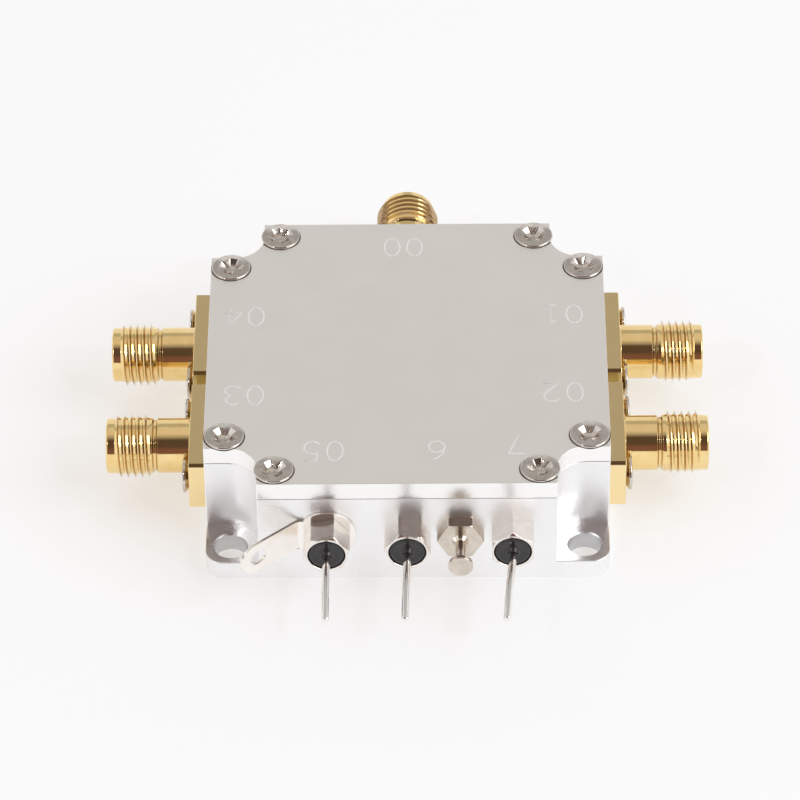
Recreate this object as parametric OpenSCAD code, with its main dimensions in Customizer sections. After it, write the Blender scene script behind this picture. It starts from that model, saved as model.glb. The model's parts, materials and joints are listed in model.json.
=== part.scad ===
// Electronic coaxial switch module: a milled housing with five threaded jacks,
// three sealed terminals, a ground post and a solder lug under a screwed cover.
// Millimetres. X runs across the module, Y from the terminals to the rear jack, Z up.
// The origin is the centre of the base.

/* [Housing] */
// Width of the housing, side to side
body_w = 40; // [39:0.5:44]
// Height of the housing without its cover
body_h = 10.5; // [10.2:0.1:13]
// Side of the square notch at each corner
notch = 5.3; // [4.9:0.1:5.6]
// Radius in the inner corner of a notch
notch_r = 3; // [1:0.1:4]
// Thickness of the mounting ear left under a notch
ear_t = 2.1; // [1.5:0.1:4]
// Radius of an ear's outer corner
ear_r = 1.8; // [0.5:0.1:2.2]
// Distance of a mounting hole from each of the two sides beside it
ear_inset = 2.5; // [2.2:0.1:2.9]
// Diameter of a mounting hole
ear_hole_d = 3.3; // [2.2:0.1:3.5]
// Thickness of the walls round the pocket
wall = 5; // [4.6:0.1:5.2]
// Radius of the pocket's corners
pocket_r = 3; // [2.4:0.1:4]

/* [Cover] */
// Thickness of the cover plate
cover_t = 2; // [1.6:0.1:3]
// Rim of the cover left between a screw's seat and the side
screw_rim = 0.03; // [0.01:0.01:0.4]
// Distance of a cover screw from the notch beside it
screw_beside_notch = 1.7; // [1.5:0.1:2]
// Diameter of a cover screw's thread
screw_d = 2; // [1.6:0.1:2.2]
// Diameter of a cover screw's head
screw_head_d = 3.95; // [3.4:0.05:4]
// Height of a cover screw's head above the cover
screw_proud = 0.24; // [0.05:0.01:0.5]
// Height of a cover screw's end above the jack screws that it passes
screw_over_jack_screw = 0.4; // [0.3:0.1:1.2]

/* [Coaxial jacks] */
// Height of the jacks' axes above the base
jack_z = 6.1; // [5.8:0.1:6.3]
// Length of a jack from the wall to its mouth
jack_l = 10; // [9.8:0.1:12]
// Distance from a jack screw's axis to the end of the flange
flange_end = 1.76; // [1.72:0.02:2]
// Gap between the two flanges on one side
flange_gap = 1.5; // [0.5:0.05:2]
// Wall left between a flange and the notch beside it
flange_margin = 1.45; // [1.3:0.025:2.5]
// Height of a jack's flange
flange_h = 5.75; // [5.5:0.05:6.2]
// Thickness of a jack's flange
flange_t = 1.65; // [1.2:0.05:2]
// Depth of the thread, from root to crest
thread_depth = 0.41; // [0.38:0.01:0.48]
// Depth of the groove between barrel and thread, below the thread's roots
relief_depth = 0.2; // [0.1:0.02:0.25]
// Distance from one thread to the next
thread_pitch = 0.7056; // [0.68:0.001:0.72]
// Length of the plain tip in front of the thread
tip_l = 0.9; // [0.7:0.05:1]
// Diameter of the socket in the mouth of a jack
mouth_d = 4.62; // [4.4:0.02:4.7]
// Depth of that socket
mouth_depth = 1.9; // [1.5:0.1:2.4]
// Wall of the shell round that socket
mouth_wall = 0.44; // [0.34:0.01:0.48]
// Step from the socket's wall down to the insulator
insulator_step = 0.26; // [0.2:0.01:0.4]
// Diameter of the centre contact
contact_d = 1.27; // [1.2:0.01:1.4]
// Wall of the centre contact round its hole
contact_wall = 0.17; // [0.14:0.01:0.2]
// Diameter of the contact's tail over the circuit board
tail_d = 0.9; // [0.7:0.05:1]
// Length of that tail inside the pocket
tail_l = 2.2; // [1.4:0.1:2.4]

/* [Jack screws] */
// Diameter of their threads
jack_screw_d = 2; // [1.6:0.1:2]
// Diameter of their heads
jack_screw_head_d = 3.42; // [3:0.02:3.44]
// Height of their heads above the flange
jack_screw_head_h = 0.74; // [0.5:0.02:1]
// Wall left behind their holes
jack_screw_web = 0.55; // [0.4:0.05:2]

/* [Terminals] */
// Distance of the supply terminal, left of the middle
terminal_left = 7.9; // [7.6:0.1:8.6]
// Width across the flats of a terminal's hexagon
hex_w = 4.05; // [4:0.01:4.2]
// Length of that hexagon
hex_l = 2.9; // [2.4:0.1:3.4]
// Diameter of a terminal's threaded stub
stub_d = 3; // [2.6:0.1:3]
// Rim of the hexagon round its black seal
seal_rim = 0.175; // [0.12:0.005:0.4]
// Depth of that seal
seal_depth = 1; // [0.6:0.1:1.6]
// Diameter of a terminal's pin
pin_d = 0.78; // [0.6:0.02:0.9]
// Distance of a pin's tip from the wall
pin_reach = 12.5; // [10:0.1:14]
// Length of a pin inside the pocket
pin_inner_l = 2.4; // [1.2:0.1:2.5]

/* [Ground post] */
// Gap between the post and the terminal on its left
post_left_gap = 0.55; // [0.3:0.05:0.8]
// Gap between the post and the terminal on its right
post_right_gap = 0.77; // [0.5:0.01:1.2]
// Width across the flats of the post's hexagon
post_hex_w = 4; // [3.8:0.05:4.1]
// Length of that hexagon
post_hex_l = 1.3; // [1:0.1:1.8]
// Diameter of the post's neck
post_neck_d = 1.07; // [0.9:0.01:1.3]
// Diameter of the post's head
post_head_d = 2.43; // [2:0.05:2.8]
// Length of the post's head
post_head_l = 0.5; // [0.4:0.05:0.8]
// Length of the whole post in front of the wall
post_l = 5; // [4:0.1:6]

/* [Solder lug] */
// Thickness of the lug's sheet
lug_t = 0.3; // [0.2:0.02:0.4]
// Diameter of the lug's ring
lug_ring_d = 5.8; // [5:0.1:6.4]
// Distance from the ring's edge to the bend
lug_neck = 0.05; // [0:0.05:0.5]
// Length of the tongue in front of the bend
lug_tongue_l = 7.1; // [6.2:0.1:7.6]
// Width of the tongue at the bend
lug_tongue_w = 3.6; // [3.2:0.1:4]
// Radius of the tongue's tip
lug_tip_r = 1.75; // [1.5:0.05:1.8]
// Length of the hole for the wire
lug_hole_l = 1.95; // [1.7:0.05:2.3]
// Width of that hole
lug_hole_w = 1.6; // [1.2:0.1:1.7]
// Angle by which the tongue is bent out from the wall
lug_bend = 40; // [20:1:60]

/* [Circuit board] */
// Thickness of the circuit board
board_t = 0.8; // [0.5:0.1:1]
// Distance of the board's screws from the pocket's walls
board_screw_inset = 2.3; // [2.2:0.05:2.5]
// Diameter of the board screws' threads
board_screw_d = 1.6; // [1.2:0.1:1.8]
// Diameter of the board screws' heads
board_screw_head_d = 3; // [2.6:0.1:3.2]
// Side of the switch chip
switch_chip_w = 4; // [3:0.1:4.6]
// Side of the driver chip
driver_chip_w = 3; // [2:0.1:3.6]
// Thickness of the chips
chip_t = 0.65; // [0.5:0.05:0.65]

/* [Hidden] */
PORTS = ["left_front", "left_rear", "rear", "right_rear", "right_front"];
TERMINALS = ["supply", "control_1", "control_2"];

$fn = 48;
// Extra length of a cut past the face that it opens
overrun = 0.5;
// Radial gap between pieces that are pressed or glued together
press_gap = 0.01;
// Radial gap between a screw and its hole
thread_gap = 0.03;
// Gap on each face of the lug, and round its stub
lug_gap = 0.03;
// Gap between the board and the pocket's walls
board_gap = 0.15;
// Gap that a jack's tail keeps over its pad
solder_gap = 0.01;

// Angles of the cross recesses as the screws came to rest
cover_screw_turns = [20, 62, 8, 48, 75, 33, 55, 14];
jack_screw_turns = [30, 70];
// Cross recesses
recess_w = 0.42;
recess_l = 2.1;
recess_depth = 0.55;
small_recess_l = 1.7;
small_recess_w = 0.36;
small_recess_depth = 0.4;
// Clear hole for a cover screw, and its seat
screw_clear_gap = 0.1;
seat_gap = 0.04;
// Blind end of a tapped hole past the screw's end
tap_spare = 0.25;
// Rounded rim of a screw head
rim_h = 0.12;
rim_in = 0.35;
crown_h = 0.05;

// Coaxial thread: flank angle, crest land and number of crests
thread_angle = 60;
crest_land = 0.1;
crests = 5;
// Groove behind the thread: its floor, its two slopes and the plain root before the first turn
relief_l = 0.2;
relief_slope_l = 0.18;
relief_root_l = 0.27;
chamfer = 0.22;
mouth_chamfer = 0.12;
contact_hole_l = 2.6;
contact_slot_w = 0.18;
contact_slot_l = 2.1;
// Step from the thread's roots down to the barrel
root_step = 0.02;
// Gap between a jack screw's head and the barrel, the head's foot and cone, and the clear hole
jack_screw_head_gap = 0.03;
jack_screw_foot_step = 0.25;
jack_screw_cone_h = 0.42;
jack_screw_clear_gap = 0.07;

// Terminals: bore for the pin's insulation, meniscus and leaning pins
sleeve_d = 1.8;
meniscus_d = 1.7;
meniscus_h = 0.35;
// Step from a pin down to its thinner core inside the terminal, and the solder under the core
pin_core_step = 0.16;
pin_solder_t = 0.15;
// Gap between the seal and the full thickness of the pin
pin_seal_gap = 0.03;
pin_leans = [0, 1.5, 4.6];
hex_turns = [0, 0, 30];
pin_tip_chamfer = 0.15;
post_stub_d = 2;
post_web = 0.75;
post_neck_flare_d = 1.5;
post_neck_flare_l = 0.3;

// Solder lug
lug_droop = 3;
lug_hole_from_tip = 2.1;

// Circuit board
track_t = 0.05;
track_w = 1.1;
fine_track_w = 0.5;
pad_l = 2.4;
pad_w = 1.4;
board_screw_head_h = 0.55;
board_screw_grip = 2.4;
board_screw_clear_d = 1.8;
switch_chip_y = 1.5;
driver_chip_y = -6.6;
chip_row = 1.2;
capacitor_size = [1, 0.5, 0.5];
resistor_size = [1, 0.5, 0.35];
capacitor_share = 0.5;
resistor_pitch = 1.4;
resistor_from_chip = 1.2;

// Worked-out sizes and places
total_h = body_h + cover_t;
barrel_d = mouth_d + 2 * mouth_wall;
root_d = barrel_d + 2 * root_step;
thread_d = root_d + 2 * thread_depth;
relief_d = root_d - 2 * relief_depth;
insulator_d = mouth_d - 2 * insulator_step;
contact_hole_d = contact_d - 2 * contact_wall;
jack_screw_pitch = barrel_d + 2 * jack_screw_head_gap + jack_screw_head_d;
jack_screw_clear_d = jack_screw_d + 2 * jack_screw_clear_gap;
jack_screw_foot_d = jack_screw_d + 2 * jack_screw_foot_step;
jack_screw_grip = wall - tap_spare - jack_screw_web;
post_stub_l = wall - tap_spare - post_web;
flange_l = jack_screw_pitch + 2 * flange_end;
jack_pitch = flange_l + flange_gap;
body_d = 2 * (notch + flange_margin + flange_l) + flange_gap;
screw_clear_d = screw_d + 2 * screw_clear_gap;
screw_seat_d = screw_head_d + 2 * seat_gap;
screw_inset = screw_seat_d / 2 + screw_rim;
screw_grip = body_h - jack_z - jack_screw_d / 2 - screw_over_jack_screw;
seal_d = hex_w - 2 * seal_rim;
post_right = over_corners(hex_w) / 2 + post_left_gap + over_corners(post_hex_w) / 2;
terminal_right = post_right + over_corners(post_hex_w) / 2 + post_right_gap + hex_w / 2;
lug_bend_at = lug_ring_d / 2 + lug_neck;
lug_hole_at = lug_tongue_l - lug_hole_from_tip;
pocket_w = body_w - 2 * wall;
pocket_d = body_d - 2 * wall;
track_top = jack_z - tail_d / 2 - solder_gap;
board_top = track_top - track_t;
floor_z = board_top - board_t;
pin_core_r = pin_d / 2 - pin_core_step;
terminal_z = track_top + pin_solder_t + pin_core_r;
screw_x = body_w / 2 - notch - screw_beside_notch;
screw_y = body_d / 2 - notch - screw_beside_notch;
side_x = body_w / 2 - screw_inset;
side_y = body_d / 2 - screw_inset;
cover_screw_places = [
    [-side_x, -screw_y], [-side_x, screw_y], [-screw_x, side_y], [screw_x, side_y],
    [side_x, screw_y], [side_x, -screw_y], [screw_x, -side_y], [-screw_x, -side_y]
];
port_places = [
    [-body_w / 2, -jack_pitch / 2], [-body_w / 2, jack_pitch / 2], [0, body_d / 2],
    [body_w / 2, jack_pitch / 2], [body_w / 2, -jack_pitch / 2]
];
port_headings = [180, 180, 90, 0, 0];
terminal_xs = [-terminal_left, 0, terminal_right];
// Only the supply terminal sits on the lug
terminal_feet = [lug_t + 2 * lug_gap, 0, 0];
// Two screws hold the board behind, and two in front, between the terminals
board_screw_x = pocket_w / 2 - board_screw_inset;
board_screw_y = pocket_d / 2 - board_screw_inset;
board_screw_places = [
    [-board_screw_x, board_screw_y], [board_screw_x, board_screw_y],
    [-terminal_left / 2, -board_screw_y], [terminal_right / 2, -board_screw_y]
];
flank = thread_depth * tan(thread_angle / 2);
thread_end = jack_l - tip_l;
thread_start = thread_end - (crests - 1) * thread_pitch - crest_land - 2 * flank;
relief_end = thread_start - relief_root_l - relief_slope_l;
relief_start = relief_end - relief_l;
barrel_end = relief_start - relief_slope_l;
// Where each jack's track starts, under its tail, and where it meets the chip
track_starts = [for (i = [0:4]) port_places[i]
    - (wall + tail_l / 2) * [cos(port_headings[i]), sin(port_headings[i])]];
chip_edge = switch_chip_w / 2;
track_ends = [
    [-chip_edge, switch_chip_y - chip_row], [-chip_edge, switch_chip_y + chip_row],
    [0, switch_chip_y + chip_edge],
    [chip_edge, switch_chip_y + chip_row], [chip_edge, switch_chip_y - chip_row]
];
pad_y = -pocket_d / 2 + pad_l / 2 + board_gap;
driver_edge = driver_chip_w / 2;
driver_ends = [
    [-driver_edge, driver_chip_y], [0, driver_chip_y - driver_edge], [driver_edge, driver_chip_y]
];

// Frames: x along the wall, y up, z out of the wall
module at_port(i) {
    translate([port_places[i][0], port_places[i][1], jack_z])
        rotate([90, 0, port_headings[i] + 90])
            children();
}

module at_terminal(x) {
    translate([x, -body_d / 2, terminal_z])
        rotate([90, 0, 0])
            children();
}

// Square with rounded corners, centred
module rounded_plan(w, d, r) {
    union() {
        square([w - 2 * r, d], center = true);
        square([w, d - 2 * r], center = true);
        for (sx = [-1, 1])
            for (sy = [-1, 1])
                translate([sx * (w / 2 - r), sy * (d / 2 - r)])
                    circle(r);
    }
}

// One corner notch, open on its two outer sides
module notch_plan() {
    union() {
        translate([notch_r, 0])
            square([notch - notch_r + overrun, notch + overrun]);
        translate([0, notch_r])
            square([notch + overrun, notch - notch_r + overrun]);
        translate([notch_r, notch_r])
            circle(notch_r);
    }
}

// Plan of the housing above the ears, and of the cover
module block_plan() {
    difference() {
        square([body_w, body_d], center = true);
        for (sx = [0, 1])
            for (sy = [0, 1])
                mirror([sx, 0])
                    mirror([0, sy])
                        translate([body_w / 2 - notch, body_d / 2 - notch])
                            notch_plan();
    }
}

// Two crossed slots, cut from z = 0 down
module cross_slots(slot_l, slot_w, depth) {
    for (turn = [0, 90])
        rotate([0, 0, turn])
            translate([-slot_l / 2, -slot_w / 2, -depth])
                cube([slot_l, slot_w, depth + overrun]);
}

module housing() {
    color("gainsboro")
        difference() {
            union() {
                linear_extrude(ear_t)
                    rounded_plan(body_w, body_d, ear_r);
                linear_extrude(body_h)
                    block_plan();
            }
            translate([0, 0, floor_z])
                linear_extrude(body_h)
                    rounded_plan(pocket_w, pocket_d, pocket_r);
            for (sx = [-1, 1])
                for (sy = [-1, 1])
                    translate([sx * (body_w / 2 - ear_inset), sy * (body_d / 2 - ear_inset), -overrun])
                        cylinder(d = ear_hole_d, h = ear_t + 2 * overrun);
            for (place = cover_screw_places)
                translate([place[0], place[1], body_h - screw_grip - tap_spare])
                    cylinder(d = screw_d + 2 * thread_gap, h = screw_grip + tap_spare + overrun);
            for (i = [0:4])
                at_port(i) {
                    translate([0, 0, -wall - overrun])
                        cylinder(d = insulator_d + 2 * press_gap, h = wall + 2 * overrun);
                    for (side = [-1, 1])
                        translate([side * jack_screw_pitch / 2, 0, -jack_screw_grip - tap_spare])
                            cylinder(d = jack_screw_d + 2 * thread_gap,
                                h = jack_screw_grip + tap_spare + overrun);
                }
            for (x = terminal_xs)
                at_terminal(x)
                    translate([0, 0, -wall - overrun])
                        cylinder(d = stub_d + 2 * thread_gap, h = wall + 2 * overrun);
            at_terminal(post_right)
                translate([0, 0, -post_stub_l - tap_spare])
                    cylinder(d = post_stub_d + 2 * thread_gap, h = post_stub_l + tap_spare + overrun);
            for (place = board_screw_places)
                translate([place[0], place[1], floor_z - board_screw_grip - tap_spare])
                    cylinder(d = board_screw_d + 2 * thread_gap,
                        h = board_screw_grip + tap_spare + overrun);
        }
}

module cover() {
    // The seat is a cone of 90 degrees that opens at the top face
    seat_depth = (screw_seat_d - screw_clear_d) / 2;
    color("silver")
        difference() {
            translate([0, 0, body_h])
                linear_extrude(cover_t)
                    block_plan();
            for (place = cover_screw_places)
                translate([place[0], place[1], body_h]) {
                    translate([0, 0, -overrun])
                        cylinder(d = screw_clear_d, h = cover_t + 2 * overrun);
                    translate([0, 0, cover_t - seat_depth])
                        cylinder(d1 = screw_clear_d, d2 = screw_seat_d, h = seat_depth);
                }
        }
}

// Raised countersunk screw; z = 0 is the top face of the cover
module cover_screw(k) {
    head_r = screw_head_d / 2;
    neck_r = screw_d / 2;
    cone_h = head_r - neck_r;
    shank_l = cover_t + screw_grip;
    translate([cover_screw_places[k][0], cover_screw_places[k][1], total_h])
        color("darkgray")
            difference() {
                rotate_extrude()
                    polygon([
                        [0, -shank_l], [neck_r, -shank_l], [neck_r, -cone_h],
                        [head_r, 0], [head_r, screw_proud - rim_h],
                        [head_r - rim_in, screw_proud], [0, screw_proud + crown_h]
                    ]);
                translate([0, 0, screw_proud + crown_h])
                    rotate([0, 0, cover_screw_turns[k]])
                        cross_slots(recess_l, recess_w, recess_depth);
            }
}

// Size over the corners of a hexagon of that width
function over_corners(w) = w / cos(180 / 6);

// Ridge k of the thread, as points of the shell's outline
function ridge(k, z = 0) = [
    [root_d / 2, z + k * thread_pitch],
    [thread_d / 2, z + k * thread_pitch + flank],
    [thread_d / 2, z + k * thread_pitch + flank + crest_land],
    [root_d / 2, z + k * thread_pitch + 2 * flank + crest_land]
];

module jack_shell() {
    outline = concat(
        [[0, 0], [barrel_d / 2, 0], [barrel_d / 2, barrel_end], [relief_d / 2, relief_start]],
        [[relief_d / 2, relief_end], [root_d / 2, relief_end + relief_slope_l]],
        [for (k = [0:crests - 1]) each ridge(k, thread_start)],
        [[barrel_d / 2, thread_end + press_gap], [barrel_d / 2, jack_l - chamfer]],
        [[barrel_d / 2 - chamfer, jack_l], [0, jack_l]]
    );
    color("goldenrod")
        difference() {
            union() {
                translate([-flange_l / 2, -flange_h / 2, 0])
                    cube([flange_l, flange_h, flange_t]);
                rotate_extrude()
                    polygon(outline);
            }
            translate([0, 0, jack_l - mouth_depth])
                cylinder(d = mouth_d, h = mouth_depth + overrun);
            translate([0, 0, jack_l - mouth_chamfer])
                cylinder(d1 = mouth_d, d2 = mouth_d + 2 * mouth_chamfer, h = mouth_chamfer);
            translate([0, 0, -overrun])
                cylinder(d = insulator_d + 2 * press_gap, h = jack_l);
            for (side = [-1, 1])
                translate([side * jack_screw_pitch / 2, 0, -overrun])
                    cylinder(d = jack_screw_clear_d, h = flange_t + 2 * overrun);
        }
}

module jack_insulator() {
    color("white")
        difference() {
            translate([0, 0, -wall])
                cylinder(d = insulator_d, h = wall + jack_l - mouth_depth);
            translate([0, 0, -wall - overrun])
                cylinder(d = contact_d + 2 * press_gap, h = wall + jack_l);
        }
}

module jack_contact() {
    face = jack_l - mouth_depth;
    color("gold")
        difference() {
            union() {
                translate([0, 0, -wall])
                    cylinder(d = contact_d, h = wall + face);
                translate([0, 0, -wall - tail_l])
                    cylinder(d = tail_d, h = tail_l + overrun);
            }
            translate([0, 0, face - contact_hole_l])
                cylinder(d = contact_hole_d, h = contact_hole_l + overrun);
            translate([-contact_d, -contact_slot_w / 2, face - contact_slot_l])
                cube([2 * contact_d, contact_slot_w, contact_slot_l + overrun]);
        }
}

// The two screws of one jack, with heads that flare from a narrow foot
module jack_screws() {
    head_r = jack_screw_head_d / 2;
    for (side = [-1, 1])
        translate([side * jack_screw_pitch / 2, 0, flange_t])
            color("silver")
                difference() {
                    rotate_extrude()
                        polygon([
                            [0, -flange_t - jack_screw_grip], [jack_screw_d / 2, -flange_t - jack_screw_grip],
                            [jack_screw_d / 2, 0], [jack_screw_foot_d / 2, 0],
                            [head_r, jack_screw_cone_h], [head_r, jack_screw_head_h - rim_h],
                            [head_r - rim_in, jack_screw_head_h - crown_h], [0, jack_screw_head_h]
                        ]);
                    translate([0, 0, jack_screw_head_h])
                        rotate([0, 0, jack_screw_turns[side > 0 ? 1 : 0]])
                            cross_slots(small_recess_l, small_recess_w, small_recess_depth);
                }
}

module terminal_body(i) {
    foot = terminal_feet[i];
    front = foot + hex_l;
    color("lightgray")
        difference() {
            union() {
                translate([0, 0, foot])
                    rotate([0, 0, hex_turns[i]])
                        cylinder(d = over_corners(hex_w), h = hex_l, $fn = 6);
                translate([0, 0, -wall])
                    cylinder(d = stub_d, h = wall + front - seal_depth);
            }
            translate([0, 0, front - seal_depth])
                cylinder(d = seal_d, h = seal_depth + overrun);
            translate([0, 0, -wall - overrun])
                cylinder(d = sleeve_d, h = wall + front);
        }
}

module terminal_seal(i) {
    front = terminal_feet[i] + hex_l;
    seal_r = seal_d / 2 - press_gap;
    sleeve_r = sleeve_d / 2 - press_gap;
    core_r = pin_core_r + press_gap;
    color("dimgray")
        rotate_extrude()
            polygon([
                [core_r, -wall], [sleeve_r, -wall], [sleeve_r, front - seal_depth + press_gap],
                [seal_r, front - seal_depth + press_gap], [seal_r, front],
                [meniscus_d / 2, front], [core_r, front + meniscus_h]
            ]);
}

// The pin leans from where it leaves its seal
module terminal_pin(i) {
    pin_r = pin_d / 2;
    seal_top = terminal_feet[i] + hex_l + meniscus_h;
    lean_at = seal_top + pin_r;
    pin_foot = pin_seal_gap - pin_r;
    outer_l = (pin_reach - lean_at) / cos(pin_leans[i]);
    color("whitesmoke")
        union() {
            translate([0, 0, -wall - pin_inner_l])
                cylinder(r = pin_core_r, h = wall + pin_inner_l + lean_at);
            translate([0, 0, lean_at])
                rotate([0, -pin_leans[i], 0])
                    rotate_extrude()
                        polygon([
                            [0, pin_foot], [pin_r, pin_foot], [pin_r, outer_l - pin_tip_chamfer],
                            [pin_r - pin_tip_chamfer, outer_l], [0, outer_l]
                        ]);
        }
}

module ground_post() {
    at_terminal(post_right)
        color("lightgray")
            union() {
                cylinder(d = over_corners(post_hex_w), h = post_hex_l, $fn = 6);
                rotate_extrude()
                    polygon([
                        [0, -post_stub_l], [post_stub_d / 2, -post_stub_l],
                        [post_stub_d / 2, post_hex_l / 2], [post_neck_flare_d / 2, post_hex_l],
                        [post_neck_d / 2, post_hex_l + post_neck_flare_l],
                        [post_neck_d / 2, post_l - post_head_l], [post_head_d / 2, post_l - post_head_l],
                        [post_head_d / 2, post_l], [0, post_l]
                    ]);
            }
}

// Tongue of the lug in its own plane, x away from the bend
module tongue_plan() {
    tip_at = lug_tongue_l - lug_tip_r;
    // The straight edges meet the round tip where they are tangent to it
    half_w = lug_tongue_w / 2;
    taper = atan((half_w - lug_tip_r) / tip_at);
    difference() {
        union() {
            polygon([
                [0, -half_w], [tip_at + lug_tip_r * sin(taper), -lug_tip_r * cos(taper)],
                [tip_at + lug_tip_r * sin(taper), lug_tip_r * cos(taper)], [0, half_w]
            ]);
            translate([tip_at, 0])
                circle(lug_tip_r);
        }
        translate([lug_hole_at, 0]) {
            square([lug_hole_l - lug_hole_w, lug_hole_w], center = true);
            for (side = [-1, 1])
                translate([side * (lug_hole_l - lug_hole_w) / 2, 0])
                    circle(d = lug_hole_w);
        }
    }
}

module solder_lug() {
    at_terminal(-terminal_left)
        rotate([0, 0, 180 + lug_droop])
            translate([0, 0, lug_gap])
                color("wheat")
                    union() {
                        linear_extrude(lug_t)
                            difference() {
                                union() {
                                    circle(d = lug_ring_d);
                                    translate([0, -lug_tongue_w / 2])
                                        square([lug_bend_at, lug_tongue_w]);
                                }
                                circle(d = stub_d + 2 * lug_gap);
                            }
                        translate([lug_bend_at, 0, 0])
                            rotate([0, -lug_bend, 0])
                                linear_extrude(lug_t)
                                    tongue_plan();
                        // Outside of the bend
                        translate([lug_bend_at, lug_tongue_w / 2, 0])
                            rotate([90, 0, 0])
                                intersection() {
                                    cylinder(r = lug_t, h = lug_tongue_w);
                                    translate([-lug_t, 0, 0])
                                        cube([lug_t, lug_t, lug_tongue_w]);
                                }
                    }
}

module circuit_board() {
    color("darkgreen")
        translate([0, 0, floor_z])
            linear_extrude(board_t)
                difference() {
                    rounded_plan(pocket_w - 2 * board_gap, pocket_d - 2 * board_gap, pocket_r - board_gap);
                    for (place = board_screw_places)
                        translate(place)
                            circle(d = board_screw_clear_d);
                }
}

// Straight strip of copper between two points
module strip(from, to, w) {
    run = to - from;
    translate([from[0], from[1], board_top])
        rotate([0, 0, atan2(run[1], run[0])])
            translate([0, -w / 2, 0])
                cube([norm(run), w, track_t]);
}

module board_tracks() {
    color("peru") {
        for (i = [0:4]) {
            strip(track_starts[i], track_ends[i], track_w);
            translate([track_starts[i][0], track_starts[i][1], board_top])
                rotate([0, 0, port_headings[i]])
                    translate([-pad_w / 2, -pad_w / 2, 0])
                        cube([pad_w, pad_w, track_t]);
        }
        for (i = [0:2]) {
            translate([terminal_xs[i] - pad_w / 2, pad_y - pad_l / 2, board_top])
                cube([pad_w, pad_l, track_t]);
            strip([terminal_xs[i], pad_y], driver_ends[i], fine_track_w);
        }
    }
}

module board_screws() {
    for (place = board_screw_places)
        translate([place[0], place[1], board_top])
            color("silver")
                difference() {
                    union() {
                        translate([0, 0, -board_t - board_screw_grip])
                            cylinder(d = board_screw_d, h = board_t + board_screw_grip + board_screw_head_h / 2);
                        cylinder(d1 = board_screw_head_d, d2 = board_screw_head_d - rim_in,
                            h = board_screw_head_h);
                    }
                    translate([0, 0, board_screw_head_h])
                        cross_slots(small_recess_l, small_recess_w, small_recess_depth);
                }
}

module chip(side, y) {
    color("dimgray")
        translate([-side / 2, y - side / 2, track_top])
            cube([side, side, chip_t]);
}

// One capacitor on each jack's track
module chip_capacitors() {
    for (i = [0:4]) {
        run = track_ends[i] - track_starts[i];
        place = track_starts[i] + capacitor_share * run;
        translate([place[0], place[1], track_top])
            rotate([0, 0, atan2(run[1], run[0])])
                translate([-capacitor_size[0] / 2, -capacitor_size[1] / 2, 0])
                    color("tan")
                        cube(capacitor_size);
    }
}

// A row of resistors behind the driver chip
module chip_resistors() {
    for (k = [-1, 0, 1])
        translate([k * resistor_pitch - resistor_size[1] / 2,
                driver_chip_y + driver_edge + resistor_from_chip - resistor_size[0] / 2, track_top])
            color("black")
                cube([resistor_size[1], resistor_size[0], resistor_size[2]]);
}

housing();
cover();
for (k = [0:7])
    cover_screw(k);
for (i = [0:4]) {
    at_port(i) jack_shell();
    at_port(i) jack_insulator();
    at_port(i) jack_contact();
    at_port(i) jack_screws();
}
for (i = [0:2]) {
    at_terminal(terminal_xs[i]) terminal_body(i);
    at_terminal(terminal_xs[i]) terminal_seal(i);
    at_terminal(terminal_xs[i]) terminal_pin(i);
}
ground_post();
solder_lug();
circuit_board();
board_tracks();
board_screws();
chip(switch_chip_w, switch_chip_y);  // switch_chip
chip(driver_chip_w, driver_chip_y);  // driver_chip
chip_capacitors();
chip_resistors();
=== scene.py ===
import bmesh
import bpy
import json
import math
import random
from mathutils import Matrix, Vector
from mathutils.geometry import delaunay_2d_cdt, tessellate_polygon


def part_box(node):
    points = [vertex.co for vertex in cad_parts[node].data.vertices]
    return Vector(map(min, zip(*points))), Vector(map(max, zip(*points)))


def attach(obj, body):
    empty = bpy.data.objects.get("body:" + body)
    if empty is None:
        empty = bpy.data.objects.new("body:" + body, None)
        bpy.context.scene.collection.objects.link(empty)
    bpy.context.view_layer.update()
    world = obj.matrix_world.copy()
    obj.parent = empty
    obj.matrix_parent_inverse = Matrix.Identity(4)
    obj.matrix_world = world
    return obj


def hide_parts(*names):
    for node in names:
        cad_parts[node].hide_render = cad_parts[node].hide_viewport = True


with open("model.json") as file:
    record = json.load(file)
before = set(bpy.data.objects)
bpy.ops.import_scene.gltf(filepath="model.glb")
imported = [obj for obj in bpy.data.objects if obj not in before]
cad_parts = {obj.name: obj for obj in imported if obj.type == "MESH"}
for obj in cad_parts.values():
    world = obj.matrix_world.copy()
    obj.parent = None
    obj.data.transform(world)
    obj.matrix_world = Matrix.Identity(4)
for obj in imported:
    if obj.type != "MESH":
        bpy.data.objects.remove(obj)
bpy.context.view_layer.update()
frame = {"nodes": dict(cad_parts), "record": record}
mm = 0.001
ports = ["left_front", "left_rear", "rear", "right_rear", "right_front"]
terminals = ["supply", "control_1", "control_2"]


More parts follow.
